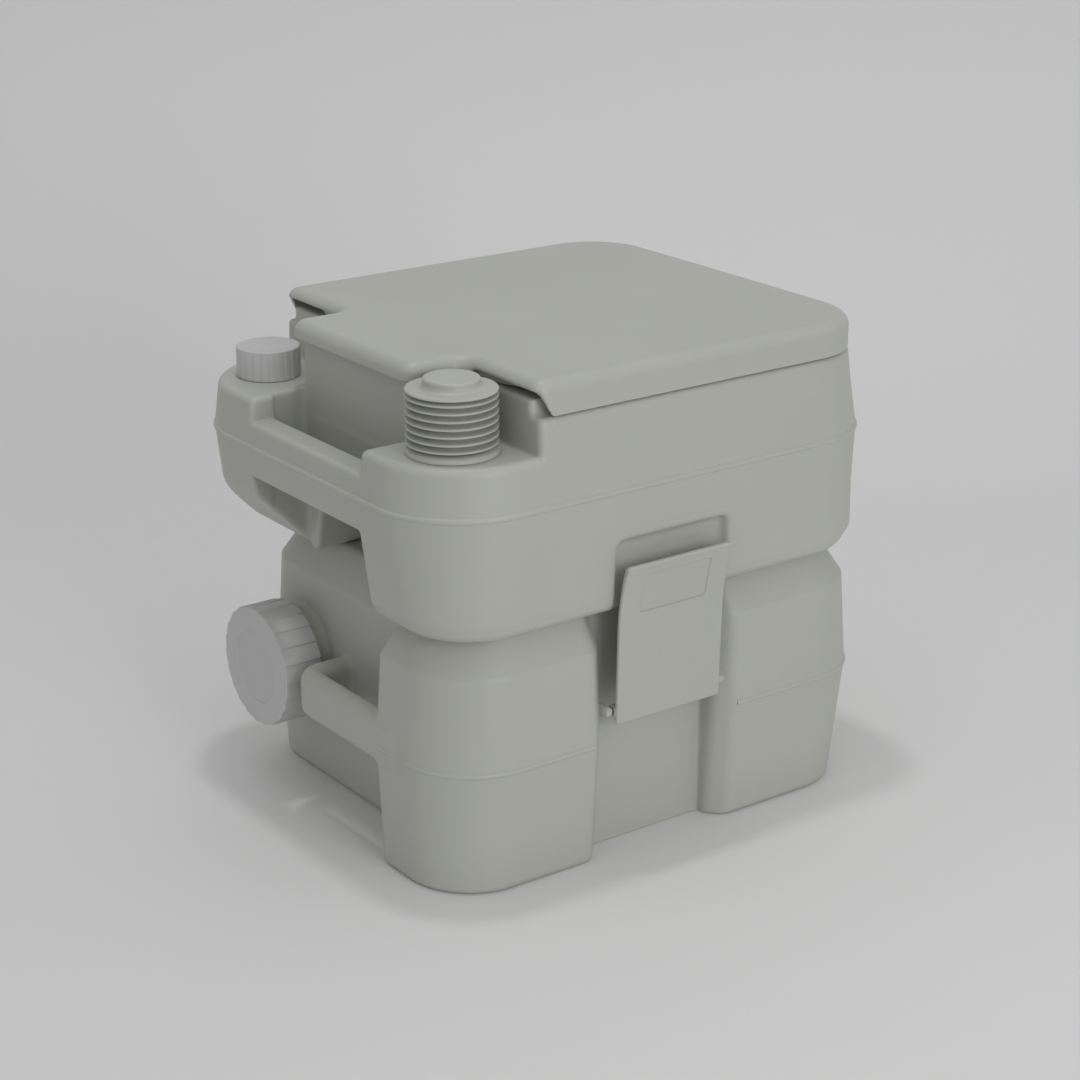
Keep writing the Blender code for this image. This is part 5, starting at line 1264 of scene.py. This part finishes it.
def bowl_form(x, y, z):
    skin = 0.0022
    outer = bowl_way(x, y, z, 0.0)
    inner = bowl_way(x, y, z, -skin)
    wall = np.maximum(outer, -inner)
    flange = np.maximum(flange_plan(x, y, 0.0100), BOWL[1][2] - skin - z)
    flange = np.maximum(flange, -inner)
    form = union(wall, flange, 0.002)
    form = common(form, z - BOWL[1][2], 0.0009)
    form = np.maximum(form, BOWL[0][2] - z)
    nozzle = round_bar(x + 0.055, z - 0.338, BOWL_Y, 0.2, y, 0.0055)
    return np.maximum(form, -nozzle)


class ValveFinish(bpy.types.Operator):
    """Finish the slide valve, its seals, screws and pull"""

    bl_idname = "camp_toilet.valve"
    bl_label = "Slide valve"

    def execute(self, context):
        for name in ("valve_housing", "valve_pull"):
            repaint(name, "dark_plastic")
        for name in ("valve_seal_upper", "valve_seal_lower"):
            repaint(name, "black_rubber")
        repaint("valve_blade", "steel")
        for index in range(1, 5):
            repaint(f"valve_screw_{index}", "steel")
        return {"FINISHED"}


class HingeBuild(bpy.types.Operator):
    """Build the hinge eyes on tank, seat and lid, and finish the pins and bumpers"""

    bl_idname = "camp_toilet.hinge"
    bl_label = "Hinge"

    def execute(self, context):
        start, length = 0.0340, 0.0110
        rows = (
            ("tank_hinge_lugs", "tanks", start + 2 * length + 0.002, 0.0077, -0.018, 0.0),
            ("seat_hinge_eyes", "seat_ring", start + length + 0.0005, length, -0.011, 0.0),
            ("lid_hinge_eyes", "cover", start, length, -0.0025, 0.0025),
        )
        for name, body, first, width, y0, y1 in rows:
            obj = hinge_eyes(name, first, width, y0, y1, body == "cover", body == "tanks")
            settle_on(obj, body, "body_plastic")
        for name in ("hinge_pin_left", "hinge_pin_right"):
            repaint(name, "steel")
        for name in NODES:
            if "bumper" in name:
                repaint(name, "black_rubber")
        return {"FINISHED"}


def hinge_eyes(name, first, width, y0, y1, hangs, stands):
    """Two eyes on the hinge line with the web that carries each."""
    radius, bore = 0.0033, 0.0018

    def eyes(x, y, z):
        u, v = y - HINGE_Y, z - HINGE_Z
        place = slab(np.abs(x), first, first + width)
        ring = np.sqrt(u * u + v * v)
        if hangs:
            web = np.maximum(slab(u, y0, y1), slab(v, 0.0, LID_TOP - 0.0022 - HINGE_Z))
        else:
            web = np.maximum(slab(u, y0, y1), np.abs(v) - 0.0030)
        form = union(ring - radius, web, 0.0012)
        if stands:
            foot = np.maximum(slab(u, y0, -0.0062), slab(v, -0.0105, 0.0))
            form = union(form, foot, 0.001)
        return common(common(form, place, 0.0005), bore - ring, 0.0002)

    low = (-first - width, HINGE_Y + y0, HINGE_Z - 0.011)
    high = (first + width, HINGE_Y + radius, LID_TOP)
    return moulded(name, eyes, low, high, 0.0006)


class StudioBuild(bpy.types.Operator):
    """Lay the pale floor, hang the soft lights and place the camera"""

    bl_idname = "camp_toilet.studio"
    bl_label = "Studio"

    def execute(self, context):
        look = context.scene.camp_toilet_studio
        floor = studio_sweep()
        floor.data.materials.append(floor_material(look.floor))
        soft_light("Side light", Vector((-2.15, 0.20, 0.85)), 1.1, look.side_power)
        soft_light("Top light", Vector((0.0, 0.10, 2.05)), 0.14, look.top_power)
        soft_light("Overhead panel", Vector((0.0, 0.0, 2.80)), 2.6, look.panel_power)
        world = bpy.data.worlds.new("Studio room")
        world.use_nodes = True
        world.node_tree.nodes["Background"].inputs["Color"].default_value = (1, 1, 1, 1)
        world.node_tree.nodes["Background"].inputs["Strength"].default_value = look.sky
        context.scene.world = world
        context.scene.view_settings.view_transform = "Standard"
        lens = bpy.data.cameras.new("Studio camera")
        lens.lens = look.lens
        lens.sensor_width = 36.0
        lens.clip_end = 100
        camera = bpy.data.objects.new("Studio camera", lens)
        camera.location = (-1.4249, 1.0356, 0.8256)
        camera.rotation_euler = (math.radians(70.09), 0, math.radians(233.87))
        context.scene.collection.objects.link(camera)
        context.scene.camera = camera
        return {"FINISHED"}


def studio_sweep():
    """Wide floor whose far edge curves up into a wall, facing the camera."""
    away = Vector((0.808, -0.590, 0.0))
    right = Vector((-0.590, -0.808, 0.0))
    start, bend = 0.60, 0.45
    profile = [(-6.0, 0.0), (start, 0.0)]
    for i in range(1, 25):
        a = math.pi / 2 * i / 24
        profile.append((start + bend * math.sin(a), bend * (1 - math.cos(a))))
    profile.append((start + bend, 4.0))
    points = [right * side + away * out + Vector((0, 0, up)) for out, up in profile for side in (-12, 12)]
    faces = [(2 * i, 2 * i + 1, 2 * i + 3, 2 * i + 2) for i in range(len(profile) - 1)]
    return mesh_object("studio_floor", points, faces)


def floor_material(colour):
    material = bpy.data.materials.new("Studio paper")
    material.use_nodes = True
    tree = material.node_tree
    shader = tree.nodes["Principled BSDF"]
    base = tuple(colour) + (1.0,)
    tone = place_group(tree, "Tone drift", tone_group, Base=base, Drift=tinted(base, 0.985), Amount=0.5,
                       Scale=1.2, Roughness=0.85, Roughness_Spread=0.03)
    tree.links.new(tone.outputs["Color"], shader.inputs["Base Color"])
    tree.links.new(tone.outputs["Roughness"], shader.inputs["Roughness"])
    # The wall is see-through from behind, so that views from the far side aren't blocked
    behind = tree.nodes.new("ShaderNodeNewGeometry")
    clear = tree.nodes.new("ShaderNodeBsdfTransparent")
    choice = tree.nodes.new("ShaderNodeMixShader")
    tree.links.new(behind.outputs["Backfacing"], choice.inputs["Fac"])
    tree.links.new(shader.outputs["BSDF"], choice.inputs[1])
    tree.links.new(clear.outputs["BSDF"], choice.inputs[2])
    tree.links.new(choice.outputs["Shader"], tree.nodes["Material Output"].inputs["Surface"])
    return material


def soft_light(name, place, size, power):
    light = bpy.data.lights.new(name, "AREA")
    light.shape = "DISK"
    light.size = size
    light.energy = power
    obj = bpy.data.objects.new(name, light)
    obj.location = place
    obj.rotation_euler = (Vector((0, 0, 0.18)) - place).to_track_quat("-Z", "Y").to_euler()
    bpy.context.scene.collection.objects.link(obj)
    return obj


BUILDERS = (
    WasteTankBuild, FreshTankBuild, BowlBuild, SeatBuild, LidBuild, HingeBuild, LatchesBuild, PumpBuild,
    CapsBuild, ValveFinish, StudioBuild,
)


class CampToiletPanel(bpy.types.Panel):
    """Panel that lists the pieces and their settings."""

    bl_idname = "VIEW3D_PT_camp_toilet"
    bl_label = "Camp toilet"
    bl_space_type = "VIEW_3D"
    bl_region_type = "UI"
    bl_category = "Camp Toilet"

    def draw(self, context):
        layout = self.layout
        for group in ("camp_toilet_finish", "camp_toilet_detail", "camp_toilet_studio"):
            settings = getattr(context.scene, group)
            box = layout.box()
            for name in settings.__annotations__:
                box.prop(settings, name)
        for builder in BUILDERS:
            layout.operator(builder.bl_idname)


SETTINGS = (
    ("camp_toilet_finish", CampToiletFinish),
    ("camp_toilet_detail", CampToiletDetail),
    ("camp_toilet_studio", CampToiletStudio),
)


def register():
    for _, group in SETTINGS:
        bpy.utils.register_class(group)
    for builder in (*BUILDERS, CampToiletPanel):
        bpy.utils.register_class(builder)
    for name, group in SETTINGS:
        setattr(bpy.types.Scene, name, bpy.props.PointerProperty(type=group))


def unregister():
    for name, _ in SETTINGS:
        delattr(bpy.types.Scene, name)
    for builder in reversed((*BUILDERS, CampToiletPanel)):
        bpy.utils.unregister_class(builder)
    for _, group in reversed(SETTINGS):
        bpy.utils.unregister_class(group)


def main():
    register()
    for builder in BUILDERS:
        group, name = builder.bl_idname.split(".")
        result = getattr(getattr(bpy.ops, group), name)()
        if result != {"FINISHED"}:
            raise RuntimeError(f"{builder.bl_label} did not finish")
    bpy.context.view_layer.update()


if __name__ == "__main__":
    main()
